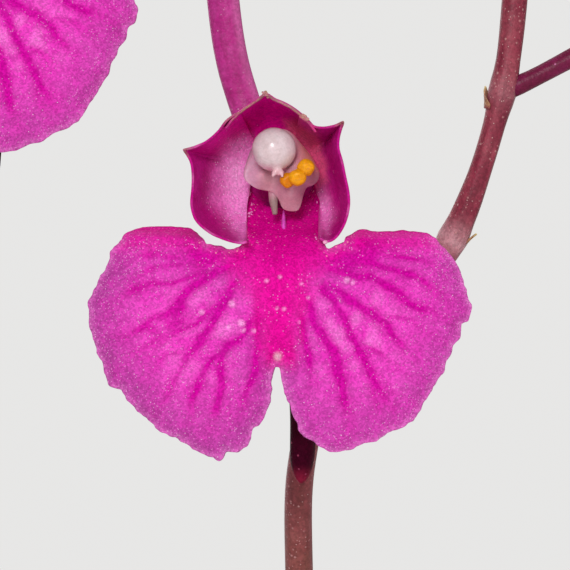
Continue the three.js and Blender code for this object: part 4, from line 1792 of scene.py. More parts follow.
def within(points: Points, ring: Points) -> Points:
    """Whether points lie within a closed ring, in the plane.

    Args:
        points: the points, two numbers each.
        ring: the ring's corners.

    Returns:
        True for each point within.
    """
    x, z = points[:, 0], points[:, 1]
    inside = np.zeros(len(points), bool)
    for (ax, az), (bx, bz) in zip(ring, np.roll(ring, -1, axis=0)):
        if az == bz:
            continue
        crosses = (az > z) != (bz > z)
        inside ^= crosses & (x < (bx - ax) * (z - az) / (bz - az) + ax)
    return inside


def patch(points: Points, ring: Sequence[tuple[float, float]], soft: float) -> Points:
    """How deep points lie in a patch with a soft edge.

    Args:
        points: the points, two numbers each.
        ring: corners of the patch.
        soft: how wide its edge is.

    Returns:
        0 outside the patch, 1 well inside it.
    """
    corners = np.array([*ring, ring[0]], float)
    away = beside(points, corners) * np.where(within(points, corners[:-1]), 1.0, -1.0)
    return smooth(-0.5 * soft, 0.5 * soft, away)


def face_depth(share: Points) -> Points:
    """How deep a petal's broad face lies: nearly flat, then it turns forward into the rim."""
    share = np.clip(share, 0.0, 1.0)
    return mix(HOOD_BACK, HOOD_FRONT, 0.42 * share**1.2 + 0.58 * share**7)


@dataclass
class Lip:
    """The large two-lobed lip, with its dark branching veins, pale warts and uneven margin.

    Args:
        cell: size of a face, before it is rounded once.
    """

    cell: float = 0.15
    forward: float = -0.9
    roll: float = 1.7
    claw_back: float = 5.2
    thick: float = 0.36
    trough_middle: float = 0.27
    trough_half: float = 2.15
    trough_top: float = 3.4
    trough_rise: float = 3.0
    outline_points: Ring = (
        (-1.8, 3.4), (-1.95, 2.4), (-1.85, 1.1), (-1.8, 0.45), (-2.1, 0.14), (-2.6, 0.1), (-3.0, 0.17),
        (-3.4, 0.25), (-3.8, 0.41), (-4.17, 0.77), (-4.6, 1.1), (-5.1, 1.15), (-6.05, 1.21), (-7.08, 1.13),
        (-7.61, 1.01), (-8.05, 0.73), (-8.41, 0.33), (-8.77, -0.03), (-8.87, -0.6), (-9.11, -1.04),
        (-9.55, -1.89), (-9.96, -2.76), (-9.9, -3.3), (-9.81, -4.2), (-9.51, -5.07), (-9.44, -5.5),
        (-9.21, -5.9), (-9.03, -6.76), (-8.78, -7.13), (-8.25, -7.26), (-8.05, -7.65), (-7.46, -8.29),
        (-6.79, -8.9), (-6.03, -9.54), (-5.11, -9.98), (-4.6, -10.26), (-4.04, -10.64), (-3.4, -10.88),
        (-3.0, -11.0), (-2.75, -10.65), (-2.1, -10.52), (-1.5, -10.1), (-1.3, -9.3), (-1.05, -9.15),
        (-0.76, -8.78), (-0.53, -8.27), (-0.4, -7.72), (-0.33, -6.9), (-0.2, -6.2), (0.0, -5.9),
        (0.12, -6.3), (0.16, -6.76), (0.3, -7.21), (0.42, -7.71), (0.64, -8.16), (0.81, -8.72),
        (1.04, -9.28), (1.4, -9.75), (1.9, -9.98), (2.35, -10.37), (2.85, -10.56), (3.5, -10.48),
        (4.06, -10.39), (4.6, -10.13), (5.11, -10.0), (5.57, -9.71), (6.0, -9.44), (6.46, -9.3),
        (6.84, -8.99), (7.21, -8.73), (7.46, -8.29), (7.96, -7.56), (8.29, -6.79), (8.6, -6.51),
        (8.89, -5.76), (9.11, -5.41), (9.18, -5.0), (9.46, -4.75), (9.62, -3.9), (10.0, -3.76),
        (10.17, -3.0), (10.0, -2.5), (9.78, -1.8), (9.62, -1.3), (9.4, -0.72), (8.93, -0.11),
        (8.37, 0.45), (7.9, 0.76), (7.0, 0.95), (6.49, 0.99), (5.97, 0.93), (5.05, 0.89), (4.6, 1.01),
        (4.15, 0.96), (3.74, 0.69), (3.37, 0.41), (2.96, 0.2), (2.6, 0.12), (2.38, 0.45), (2.42, 1.1),
        (2.6, 2.4), (2.4, 3.4),
    )
    veins: tuple[tuple[float, Ring], ...] = (
        (1.0, (
            (-2.3, -1.78), (-2.72, -2.62), (-3.19, -3.46), (-3.77, -4.4), (-4.29, -5.08), (-4.82, -5.76),
            (-5.08, -6.34),
        )),
        (0.9, (
            (-1.47, -3.77), (-1.99, -4.61), (-2.62, -5.03), (-2.93, -5.6), (-2.93, -6.44), (-2.98, -7.44),
            (-3.25, -8.38), (-3.51, -9.32),
        )),
        (0.75, (
            (-2.93, -5.34), (-3.56, -5.86), (-3.98, -6.49), (-4.24, -7.33), (-4.56, -8.27), (-4.61, -9.11),
        )),
        (0.8, (
            (-0.99, -3.56), (-1.05, -4.97), (-1.15, -5.86), (-1.36, -6.75), (-1.68, -7.49), (-1.83, -8.12),
            (-2.09, -8.8),
        )),
        (0.85, (
            (-2.09, -0.63), (-2.78, -0.94), (-3.56, -1.36), (-4.14, -1.78), (-4.71, -2.2), (-5.18, -2.78),
            (-5.76, -3.35), (-6.28, -3.67), (-6.91, -3.98),
        )),
        (0.65, (
            (-2.83, -2.72), (-3.56, -3.25), (-4.29, -3.87), (-5.03, -4.14), (-5.65, -4.45), (-6.18, -4.97),
            (-6.6, -5.55),
        )),
        (0.6, (
            (-3.82, -1.15), (-4.71, -1.47), (-5.76, -1.78), (-6.7, -1.78), (-7.49, -2.09), (-8.22, -2.51),
            (-8.9, -2.83),
        )),
        (0.5, (
            (-3.3, -0.42), (-4.08, -0.63), (-4.87, -0.79), (-5.65, -0.79), (-6.44, -0.99), (-7.23, -1.36),
            (-8.06, -1.78),
        )),
        (0.5, (
            (-3.82, -0.1), (-4.61, -0.21), (-5.34, -0.37), (-6.18, -0.21), (-6.96, -0.31), (-7.64, -0.58),
            (-8.38, -0.84),
        )),
        (0.6, ((-5.55, -3.25), (-6.44, -3.56), (-7.17, -4.14), (-7.85, -4.4), (-8.69, -4.5))),
        (0.4, ((-4.29, -5.08), (-5.03, -5.34), (-5.76, -5.5), (-6.28, -5.97), (-6.7, -6.6))),
        (0.4, ((-4.92, -6.07), (-5.39, -6.91), (-5.76, -7.64), (-6.18, -8.27), (-6.6, -8.8))),
        (0.45, ((-5.13, -4.14), (-5.92, -4.4), (-6.7, -4.92), (-7.44, -5.34), (-8.17, -5.86))),
        (0.35, ((-2.93, -7.44), (-2.62, -8.06), (-2.51, -8.8), (-2.62, -9.53))),
        (0.35, ((-6.18, -0.21), (-6.7, 0.16), (-7.23, 0.37))),
        (0.75, ((1.26, -3.56), (1.36, -4.45), (1.52, -5.24), (1.62, -5.92), (1.78, -6.6), (1.99, -7.44))),
        (0.95, (
            (1.57, -2.62), (1.88, -3.77), (2.3, -4.45), (2.72, -5.03), (3.04, -5.81), (3.19, -6.7),
            (3.4, -7.54), (3.67, -8.27), (3.87, -9.11),
        )),
        (0.9, (
            (2.3, -1.99), (2.88, -2.62), (3.3, -3.25), (3.56, -3.87), (3.87, -4.61), (4.29, -5.34),
            (4.66, -6.02), (5.03, -6.81), (5.55, -7.64), (5.97, -8.38),
        )),
        (0.85, (
            (2.51, -1.78), (3.25, -2.2), (3.77, -2.72), (4.4, -3.09), (5.03, -3.46), (5.55, -3.87),
            (5.97, -4.5), (6.49, -5.13), (7.02, -5.76),
        )),
        (0.85, (
            (2.72, -0.94), (3.77, -1.31), (4.82, -1.47), (5.6, -1.78), (6.23, -2.2), (6.65, -2.72),
            (7.33, -3.04), (8.06, -3.3), (8.8, -3.72),
        )),
        (0.75, (
            (3.25, -0.52), (4.4, -0.63), (5.45, -0.89), (6.49, -1.2), (7.33, -1.41), (7.85, -1.88),
            (8.43, -2.41), (9.01, -2.93),
        )),
        (0.6, (
            (3.77, -0.1), (4.82, -0.16), (5.86, -0.31), (6.65, -0.47), (7.44, -0.52), (8.12, -0.79),
            (8.69, -1.26),
        )),
        (0.4, ((3.87, -4.61), (4.61, -5.03), (5.34, -5.45), (6.02, -5.92), (6.7, -6.49))),
        (0.4, ((5.34, -3.56), (6.18, -3.56), (7.02, -3.77), (7.75, -4.24), (8.48, -4.71))),
        (0.5, ((3.3, -7.07), (3.4, -7.96), (3.56, -8.8), (3.61, -9.42))),
        (0.5, ((4.66, -6.02), (4.87, -6.91), (5.03, -7.75), (5.45, -8.59), (5.65, -9.11))),
        (0.35, ((5.03, -6.81), (5.76, -7.33), (6.39, -7.64), (7.02, -7.96))),
        (0.4, ((3.51, 0.37), (4.4, 0.21), (5.45, 0.05), (6.49, 0.0), (7.44, 0.05))),
        (0.35, ((1.78, -6.6), (1.57, -7.44), (1.68, -8.27))),
        (0.8, ((-5.0, -3.0), (-5.3, -3.6), (-5.1, -4.1), (-4.6, -4.4))),
        (0.6, ((-6.9, -3.98), (-6.2, -4.2), (-5.3, -4.1))),
    )
    warts: Line = (
        (-2.36, -2.83, 0.26), (-1.94, -3.82, 0.24), (-3.98, -3.25, 0.21), (-0.58, -1.62, 0.16),
        (0.31, -3.09, 0.16), (-0.05, -3.04, 0.13), (3.56, -1.62, 0.26), (3.87, -1.73, 0.18),
        (1.2, -1.78, 0.12), (1.05, -3.77, 0.12), (-1.26, -4.24, 0.13), (0.1, -1.41, 0.12),
        (1.57, -2.46, 0.13), (-1.83, -4.19, 0.16), (-2.57, -4.03, 0.12),
    )

    def outline(self) -> Points:
        """The lip's margin, with its small uneven teeth.

        Returns:
            Its points, two numbers each.
        """
        ring = Way([(x, 0.0, z) for x, z in self.outline_points], closed=True)
        line = ring.along(np.linspace(0.0, 1.0, 760)[:-1])
        run = np.roll(line, -1, axis=0) - np.roll(line, 1, axis=0)
        out = unit(stack(run[:, 2], 0.0, -run[:, 0]))
        teeth = 0.09 * ripple(line, 0.5, 3) + 0.085 * ripple(line, 0.25, 4)
        x, z = line[:, 0], line[:, 2]
        free = smooth(1.6, 0.6, z) * smooth(0.5, 2.5, np.abs(x) + smooth(-6, -7, z) * 2)
        line = line + (teeth * free)[:, None] * out
        return line[:, [0, 2]]

    def depth(self, x: Points, z: Points) -> Points:
        """How far the lip lies away from the viewer.

        Args:
            x: places across the lip.
            z: their heights.

        Returns:
            The depths: the lobes roll back, and the claw runs into the hood as a trough.
        """
        side = np.minimum(1.0, np.abs(x) / 10)
        fan = np.arctan2(z + 1.5, np.abs(x) + 0.4)
        waves = 0.22 * side * np.sin(5 * fan + 1.2)
        floor = self.claw_back * smooth(-1.2, self.trough_top, z)
        open_lip = self.forward + self.roll * side**2 + waves + floor * bell(x / 2.2)
        across = np.minimum(1.0, np.abs(x - self.trough_middle) / self.trough_half)
        wall = face_depth((self.trough_top - z) / self.trough_rise) + 0.2
        trough = mix(self.forward + floor, wall, across**3)
        return mix(open_lip, trough, smooth(0.2, 1.1, z))

    def blank(self, name: str) -> Piece:
        """Cuts the flat lip out of a fine grid, along its margin.

        Args:
            name: the piece's name.

        Returns:
            The flat lip.
        """
        ring = self.outline()
        low, high = ring.min(axis=0) - self.cell, ring.max(axis=0) + self.cell
        columns, rows = np.ceil((high - low) / self.cell).astype(int)

        def flat(u: Points, v: Points) -> Points:
            """A flat sheet, as wide and high as the lip."""
            return stack(mix(low[0], high[0], u), 0 * u, mix(low[1], high[1], v))

        piece = sheet(name, int(columns), int(rows), flat)
        closed = np.vstack([ring, ring[:1]])
        spots = read(piece)[:, [0, 2]]
        gone = ~within(spots, ring) & (beside(spots, closed) > 0.4 * self.cell)
        pick(piece)
        bpy.ops.object.mode_set(mode="EDIT")
        bpy.ops.mesh.select_mode(type="VERT")
        bpy.ops.mesh.select_all(action="DESELECT")
        bpy.ops.object.mode_set(mode="OBJECT")
        piece.data.vertices.foreach_set("select", gone)
        bpy.ops.object.mode_set(mode="EDIT")
        bpy.ops.mesh.delete(type="VERT")
        bpy.ops.mesh.select_all(action="SELECT")
        bpy.ops.mesh.delete_loose()
        bpy.ops.object.mode_set(mode="OBJECT")
        self.fit(piece, closed)
        refine(piece)
        return piece

    def fit(self, piece: Piece, line: Points) -> None:
        """Draws the cut edge of the flat lip onto its margin, and evens the faces beside it.

        Args:
            piece: the flat lip.
            line: the closed margin.
        """
        points = read(piece)
        edges = np.empty(len(piece.data.edges) * 2, int)
        piece.data.edges.foreach_get("vertices", edges)
        edges = edges.reshape(-1, 2)
        loops = np.empty(len(piece.data.loops), int)
        piece.data.loops.foreach_get("edge_index", loops)
        single = np.bincount(loops, minlength=len(edges)) == 1
        rim = np.unique(edges[single])
        points[np.ix_(rim, [0, 2])] = nearest(points[rim][:, [0, 2]], line)[1]
        held = np.zeros(len(points), bool)
        held[rim] = True
        near = beside(points[:, [0, 2]], line) < 3.0 * self.cell
        count = np.bincount(edges.ravel(), minlength=len(points))
        for _ in range(4):
            total = np.zeros_like(points)
            np.add.at(total, edges[:, 0], points[edges[:, 1]])
            np.add.at(total, edges[:, 1], points[edges[:, 0]])
            move = near & ~held & (count > 0)
            points[move] = 0.5 * points[move] + 0.5 * total[move] / count[move, None]
        write(piece, points)

    def vein(self, spots: Points) -> Points:
        """How strongly a vein shows at each place, from its core to its soft sides.

        Args:
            spots: places on the lip, two numbers each.

        Returns:
            0 away from the veins, 1 on the strongest.
        """
        upright = raised(spots)
        wander = np.stack([ripple(upright, 0.8, 21), ripple(upright, 0.8, 22)], axis=1)
        fine = np.stack([ripple(upright, 0.3, 23), ripple(upright, 0.3, 24)], axis=1)
        moved = spots + 0.11 * wander + 0.05 * fine
        shown = np.zeros(len(spots))
        for strength, way in self.veins:
            line = Way([(x, 0.0, z) for x, z in way], fineness=200).along(np.linspace(0, 1, 28))[:, [0, 2]]
            far = beside(moved, line)
            tail = np.clip(np.linalg.norm(spots - line[-1], axis=1) / 1.6, 0.25, 1.0)
            width = 0.09 + 0.11 * strength
            core = bell(far / width) + 0.5 * bell(far / (2.7 * width))
            shown = np.maximum(shown, np.minimum(core, 1.0) * strength * tail)
        return np.clip(shown * (0.9 + 0.4 * ripple(upright, 0.7, 25)), 0.0, 1.0)

    def marks(self, spots: Points, line: Points) -> dict[str, Points]:
        """Where the lip's colours, grains, painted glints and painted shade lie.

        Args:
            spots: places on the lip, two numbers each.
            line: the closed margin.

        Returns:
            The marks by name.
        """
        x, z = spots.T
        upright = raised(spots)
        edge = beside(spots, line)
        wide = 0.95 + 2.5 * np.clip((z + 5.0) / 5.0, 0.0, 1.4) ** 1.7
        uneven = 1 + 0.3 * ripple(upright, 1.3, 31) + 0.15 * ripple(upright, 0.4, 33)
        heat = np.exp(-(np.abs((x - 0.05) / (wide * uneven)) ** 3)) * smooth(-6.7, -5.4, z)
        band = smooth(-2.2, -0.1, z) * smooth(mix(6.2, 8.0, smooth(-2, 2, x)), 3.4, np.abs(x))
        band = band * smooth(-0.75, -0.05, ripple(upright, 1.2, 34))
        streaks = ripple(stack(x / 0.32, 0 * x, (z + 0.35 * np.abs(x)) / 2.6), 1.0, 36)
        blotch = np.exp(-(((x + 5.2) / 1.3) ** 2) - ((z + 3.9) / 0.55) ** 2)
        blotch = 0.6 * blotch * smooth(-0.5, 0.3, ripple(upright, 0.5, 37))
        vein = np.maximum(self.vein(spots), np.maximum(0.95 * band, blotch))
        wart = np.zeros(len(x))
        for wx, wz, size in self.warts:
            gap = ((x - wx) ** 2 + (z - wz) ** 2) / (0.46 * size * uneven) ** 2
            wart = np.maximum(wart, np.exp(-gap))
        callus = np.exp(-((x / 0.13) ** 2) - ((z + 5.58) / 0.17) ** 2)
        shoulders = np.exp(-(((x + 8.0) / 1.4) ** 2) - ((z + 0.6) / 1.5) ** 2)
        shoulders += np.exp(-(((x + 9.4) / 0.8) ** 2) - ((z + 3.0) / 2.2) ** 2)
        shoulders += np.exp(-(((x - 8.9) / 0.9) ** 2) - ((z + 1.0) / 1.5) ** 2)
        margin = bell(edge / 0.6) * smooth(1.0, 0.0, z)
        # painted glints: how thick the pale glint dots lie, most on the shoulders and near the margin
        painted_glint = 0.22 + 0.8 * shoulders + 0.5 * margin + 0.3 * smooth(0.1, 0.5, ripple(upright, 1.1, 32))
        # painted shade: darker within 2 mm of the margin and on the lower lobes, where they roll back from
        # the light
        painted_lobe_shade = bell(edge / 2.0) * smooth(0.9, -1.2, z) * mix(1.0, 0.75, smooth(-3.0, 3.0, x))
        painted_lobe_shade = np.maximum(painted_lobe_shade, 0.7 * smooth(-5.5, -9.5, z))
        puff = np.exp(-(((np.abs(x) - 3.7) / 2.2) ** 2) - ((z + 4.2) / 2.6) ** 2)
        puff = puff * smooth(0.5, 0.1, vein) * smooth(-0.25, 0.35, ripple(upright, 0.8, 35))
        stripes = bell((np.abs(x - 0.05) - 1.15) / 0.2) * smooth(-1.6, -2.6, z)
        stripes = stripes * smooth(-5.2, -4.4, z)
        stripes = np.maximum(stripes, 0.9 * smooth(0.0, 0.55, streaks) * heat * smooth(0.8, -0.4, z))
        # painted gold glints along the upper edge beside the throat
        ledge = bell(edge / 0.42) * smooth(6.0, 2.2, np.abs(x)) * smooth(-1.2, -0.2, z)
        across = np.abs(x - self.trough_middle) / self.trough_half
        # the throat's own crimson, with painted shade: stronger at the trough's walls and up under the column
        throat = smooth(-0.6, 1.3, z) * (0.75 * smooth(0.5, 0.95, across) + 0.3) + 0.5 * smooth(2.2, 3.2, z)
        deep = throat + 0.6 * stripes + 0.35 * heat * smooth(-3.2, -5.0, z)
        return {
            "warm": heat,
            "vein": np.clip(1.5 * vein * (1 - 0.6 * heat), 0, 1),
            "wart": wart * (1 - callus),
            "callus": callus,
            "rim": bell(edge / 0.25) * (1 - 0.7 * heat) * smooth(1.0, 0.2, z),
            "painted_glint": np.clip(painted_glint * (1 - 0.6 * heat) * (1 - 0.6 * vein), 0, 1),
            "painted_gold_glint": np.clip(ledge + 0.25 * smooth(-0.6, 0.6, z) * bell(x / 2.4), 0, 1),
            "painted_lobe_shade": np.clip(painted_lobe_shade, 0, 1),
            "puff": puff,
            "deep": np.clip(deep, 0, 1),
        }

    def build(self, name: str) -> Piece:
        """Makes the lip.

        Args:
            name: the piece's name.

        Returns:
            The lip, in the bloom's frame.
        """
        piece = self.blank(name)
        ring = self.outline()
        closed = np.vstack([ring, ring[:1]])
        spots = read(piece)[:, [0, 2]]
        x, z = spots.T
        upright = raised(spots)
        marks = self.marks(spots, closed)
        edge = beside(spots, closed)
        fan = np.arctan2(z + 1.8, x)
        y = self.depth(x, z)
        y = y + 0.12 * self.vein(spots) * smooth(0.0, 0.5, edge) - 0.09 * marks["puff"]
        y = y - 0.07 * marks["wart"] - 0.15 * marks["callus"]
        y = y + 0.05 * ripple(upright, 0.9, 41) + 0.028 * ripple(upright, 0.35, 42)
        y = y + 0.012 * ripple(upright, 0.16, 43)
        curl = bell(edge / 0.7) * smooth(1.2, 0.4, z)
        y = y + curl * (0.16 * np.sin(15 * fan + 2 * np.sin(3 * fan)) + 0.1 * ripple(upright, 0.6, 44) + 0.12)
        write(piece, stack(x, y, z))
        mark(piece, **marks)
        thicken(piece, self.thick, mix(0.38, 1.0, smooth(0.0, 0.8, edge)))
        return dress(piece, LIP_SKIN)


@dataclass
class Organ:
    """One blade of the hood, from its root line at the back to its rim.

    Args:
        name: its name.
        root: both ends of its root line.
        rim: points along its rim.
        tip: which of those points stands out as its tip.
        beside_sepal: which end of the rim meets the back sepal; None for the sepal itself.
        out: how far it lies outside its neighbours.
    """

    name: str
    root: tuple[tuple[float, float], tuple[float, float]]
    rim: Ring
    tip: int
    beside_sepal: float | None = None
    out: float = 0.0
    tip_out: float = 0.7
    thick: float = 0.34
    pale: Ring = (
        (-1.99, 6.28), (-2.72, 5.81), (-3.35, 4.82), (-3.77, 3.77), (-3.87, 2.72), (-3.51, 1.88),
        (-2.83, 1.15), (-1.83, 0.3), (-1.4, 0.6), (-1.4, 2.62), (-1.3, 3.46), (-1.1, 4.4), (-1.1, 5.34),
        (-1.5, 6.02),
    )
    pale_right: Ring = (
        (2.2, 3.87), (2.51, 3.25), (2.88, 2.62), (3.19, 1.94), (2.98, 1.15), (2.51, 0.52), (2.1, 0.74),
        (2.0, 1.88), (2.1, 2.83),
    )
    dry_tips: Ring = ((-4.87, 5.18), (3.35, 6.65), (-0.63, 8.1))
    # painted highlight: the rose band on the right petal's inner face, beside the column
    highlight_band: Ring = (
        (0.4, 7.1), (1.2, 6.85), (2.05, 6.1), (2.5, 5.3), (2.7, 4.5), (2.65, 3.7), (2.2, 3.3), (1.6, 4.29),
        (1.1, 5.24), (0.5, 5.86),
    )

    def bowl(self, u: Points, share: Points, rim: Points) -> Points:
        """How deep the blade lies.

        Args:
            u: place along the rim.
            share: the way from root to rim.
            rim: depth of the rim there.

        Returns:
            The depths: a broad face in front of the petals' roots, and a round vault below the sepal.
        """
        vault = 1 - np.sqrt(np.maximum(0.0, 1 - share**2))
        if self.beside_sepal is None:
            return mix(HOOD_BACK, rim, vault)
        face = (HOOD_BACK - face_depth(share)) / (HOOD_BACK - HOOD_FRONT)
        return mix(HOOD_BACK, rim, mix(vault, face, smooth(0.0, 0.45, np.abs(u - self.beside_sepal))))

    def build(self, across: int, along: int) -> Piece:
        """Makes the blade.

        Args:
            across: faces along its rim.
            along: faces from root to rim.

        Returns:
            The blade, in the bloom's frame.
        """
        depth = [HOOD_FRONT - (self.tip_out if i == self.tip else 0.0) for i in range(len(self.rim))]
        line = Way([(x, y, z) for (x, z), y in zip(self.rim, depth)])
        root = np.array(self.root)

        def shape(u: Points, v: Points) -> Points:
            """Lays the blade.

            Args:
                u: shares across.
                v: shares along.

            Returns:
                The points.
            """
            rim = line.at(u)
            start = mix(root[0], root[1], u[:, None])
            share = np.sin(math.pi / 2 * v)
            swell = self.out * np.sin(math.pi * v)
            x = mix(start[:, 0], rim[:, 0], share)
            z = mix(start[:, 1], rim[:, 2], share) + swell
            y = self.bowl(u, share, rim[:, 1]) + swell - 0.1 * smooth(0.86, 1.0, v)
            points = stack(x, y, z)
            uneven = 0.06 * ripple(points, 1.1, 51) + 0.02 * ripple(points, 0.4, 52)
            teeth = 0.05 * ripple(points, 0.3, 53) * smooth(0.93, 1.0, v)
            return points + stack(0 * u, uneven - 1.2 * teeth, teeth)

        piece = sheet(self.name, across, along, shape)
        v = shares(across, along)[1]
        spots = read(piece)[:, [0, 2]]
        upright = raised(spots)
        moved = spots + 0.14 * np.stack([ripple(upright, 0.5, 54), ripple(upright, 0.5, 55)], axis=1)
        left = patch(moved, self.pale, 0.9) * mix(1.0, 0.5, smooth(-2.2, -3.5, moved[:, 0]))
        right = patch(moved, self.pale_right, 0.6) * mix(0.4, 0.7, smooth(3.0, 1.6, moved[:, 1]))
        milk = np.exp(-(((moved[:, 0] + 2.2) / 0.75) ** 2) - ((moved[:, 1] - 3.9) / 1.5) ** 2)
        milk += 0.5 * np.exp(-(((moved[:, 0] - 2.5) / 0.35) ** 2) - ((moved[:, 1] - 2.6) / 0.9) ** 2)
        x, z = spots.T
        close = np.zeros(len(spots))
        for tx, tz in self.dry_tips:
            close = np.maximum(close, bell((x - tx) / 0.3) * bell((z - tz) / 0.3))
        dry = smooth(0.955, 1.0, v) * smooth(6.2, 7.2, z) + smooth(0.95, 1.0, v) * close
        mark(
            piece,
            patch=np.clip(left + right, 0, 1),
            milk=milk,
            # painted highlight: the band mark
            band=patch(moved, self.highlight_band, 0.6),
            # painted light: the deep mark lightens the vault, to offset its shade
            deep=smooth(4.6, 6.2, z) * smooth(1.0, 0.86, v) * smooth(1.6, 0.2, x),
            blotch=smooth(2.6, 1.2, z) * smooth(-2.2, -3.2, x),
            fold=smooth(0.97, 1.0, v) * smooth(0.1, 0.45, ripple(upright, 1.2, 56)),
            dry=np.clip(dry, 0, 1),
        )
        thicken(piece, self.thick, mix(1.0, 0.4, smooth(0.7, 1.0, v)))
        refine(piece)
        return dress(piece, HOOD_SKIN)


PETAL_LEFT = Organ(
    "petal_left",
    ((-1.65, 3.36), (-0.9, 5.2)),
    (
        (-1.61, 0.42), (-1.92, 0.35), (-2.45, 0.45), (-2.98, 0.62), (-3.52, 0.88), (-3.98, 1.22),
        (-4.32, 1.62), (-4.49, 2.16), (-4.52, 2.56), (-4.45, 3.23), (-4.45, 4.09), (-4.55, 4.63),
        (-4.76, 5.0), (-4.9, 5.2), (-4.68, 5.25), (-4.32, 5.37), (-3.72, 5.63), (-3.32, 5.96),
        (-2.98, 6.33), (-2.72, 6.7), (-2.31, 7.0), (-1.92, 7.2),
    ),
    13,
    beside_sepal=1.0,
)
PETAL_RIGHT = Organ(
    "petal_right",
    ((0.9, 5.2), (2.2, 3.45)),
    (
        (1.09, 7.0), (1.56, 6.68), (1.89, 6.43), (2.36, 6.36), (2.83, 6.43), (3.18, 6.54), (3.4, 6.66),
        (3.3, 6.42), (3.16, 5.9), (3.14, 5.29), (3.33, 4.63), (3.49, 3.83), (3.66, 3.03), (3.7, 2.36),
        (3.56, 1.62), (3.29, 1.02), (2.9, 0.55), (2.49, 0.42), (2.15, 0.62),
    ),
    6,
    beside_sepal=0.0,
)
SEPAL = Organ(
    "back_sepal",
    ((-1.3, 5.0), (1.35, 5.0)),
    (
        (-2.75, 6.3), (-2.4, 6.75), (-1.92, 7.2), (-1.38, 7.58), (-0.98, 7.85), (-0.64, 8.06),
        (-0.18, 7.8), (0.22, 7.64), (0.69, 7.38), (1.09, 7.08), (1.56, 6.65), (2.0, 6.1),
    ),
    5,
    out=0.25,
)


@dataclass
class Keel:
    """The small violet keel in the trough, the pale grains on its walls, whose colour is a painted glint, and
    dry flakes on the rim.
    """

    lip: Lip
    spots: Line = (
        (-1.42, 2.08, 0.2), (1.8, 0.98, 0.2), (2.02, 2.62, 0.12), (-1.5, 3.0, 0.1), (-1.35, 2.5, 0.08),
    )
    flakes: tuple[tuple[float, float, float, float], ...] = (
        (-0.68, -1.75, 8.16, 0.16), (-0.5, -1.6, 7.98, 0.12), (1.32, -1.25, 6.95, 0.17),
        (1.5, -1.25, 6.82, 0.12),
    )

    def deep(self, x: float, z: float) -> float:
        """How deep the lip's trough lies at one place."""
        return float(self.lip.depth(np.array([x]), np.array([z]))[0])

    def build(self, grains: int) -> Piece:
        """Makes the keel, its grains and the dry flakes.

        Args:
            grains: how many glassy grains each large cluster has.

        Returns:
            The piece, in the bloom's frame.
        """
        keel = ball("keel", (0.3, self.deep(0.3, 1.45) - 0.3, 1.45), (0.14, 0.4, 0.68), 24)
        points = read(keel)
        low = smooth(2.1, 0.8, points[:, 2])
        points[:, 1] -= 0.35 * low
        points[:, 0] = 0.3 + (points[:, 0] - 0.3) * mix(0.7, 1.15, low)
        write(keel, points)
        mark(keel, keel=1.0)
        mark(keel, wart=0.5 * smooth(1.0, 0.8, points[:, 2]))
        nub = ball("nub", (2.46, -1.28, 0.4), (0.13, 0.1, 0.11), 14)
        mark(nub, callus=0.8)
        parts = [keel, nub]
        draws = np.random.default_rng(12)
        for x, z, spread in self.spots:
            for _ in range(grains if spread > 0.15 else grains // 3):
                down, off = draws.normal(0, spread), draws.normal(0, 0.4 * spread)
                gx, gz = x + off + 0.5 * down * np.sign(x), z - 0.8 * down
                size = draws.uniform(0.025, 0.062)
                grain = ball("grain", (gx, self.deep(gx, gz) - 0.16, gz), (size, size, size), 8)
                # painted glints: the grains are pale to stand for the glitter on the throat's walls
                mark(grain, wart=1.0)
                parts.append(grain)
        for x, y, z, size in self.flakes:
            flake = ball("flake", (x, y, z), (size, 0.5 * size, 0.8 * size), 12)
            points = read(flake)
            write(flake, points + 0.5 * size * ripple(points, 0.16, 63)[:, None] * outwards(flake))
            mark(flake, flake=1.0)
            parts.append(flake)
        return dress(joined("keel_and_grains", parts), LIP_SKIN)


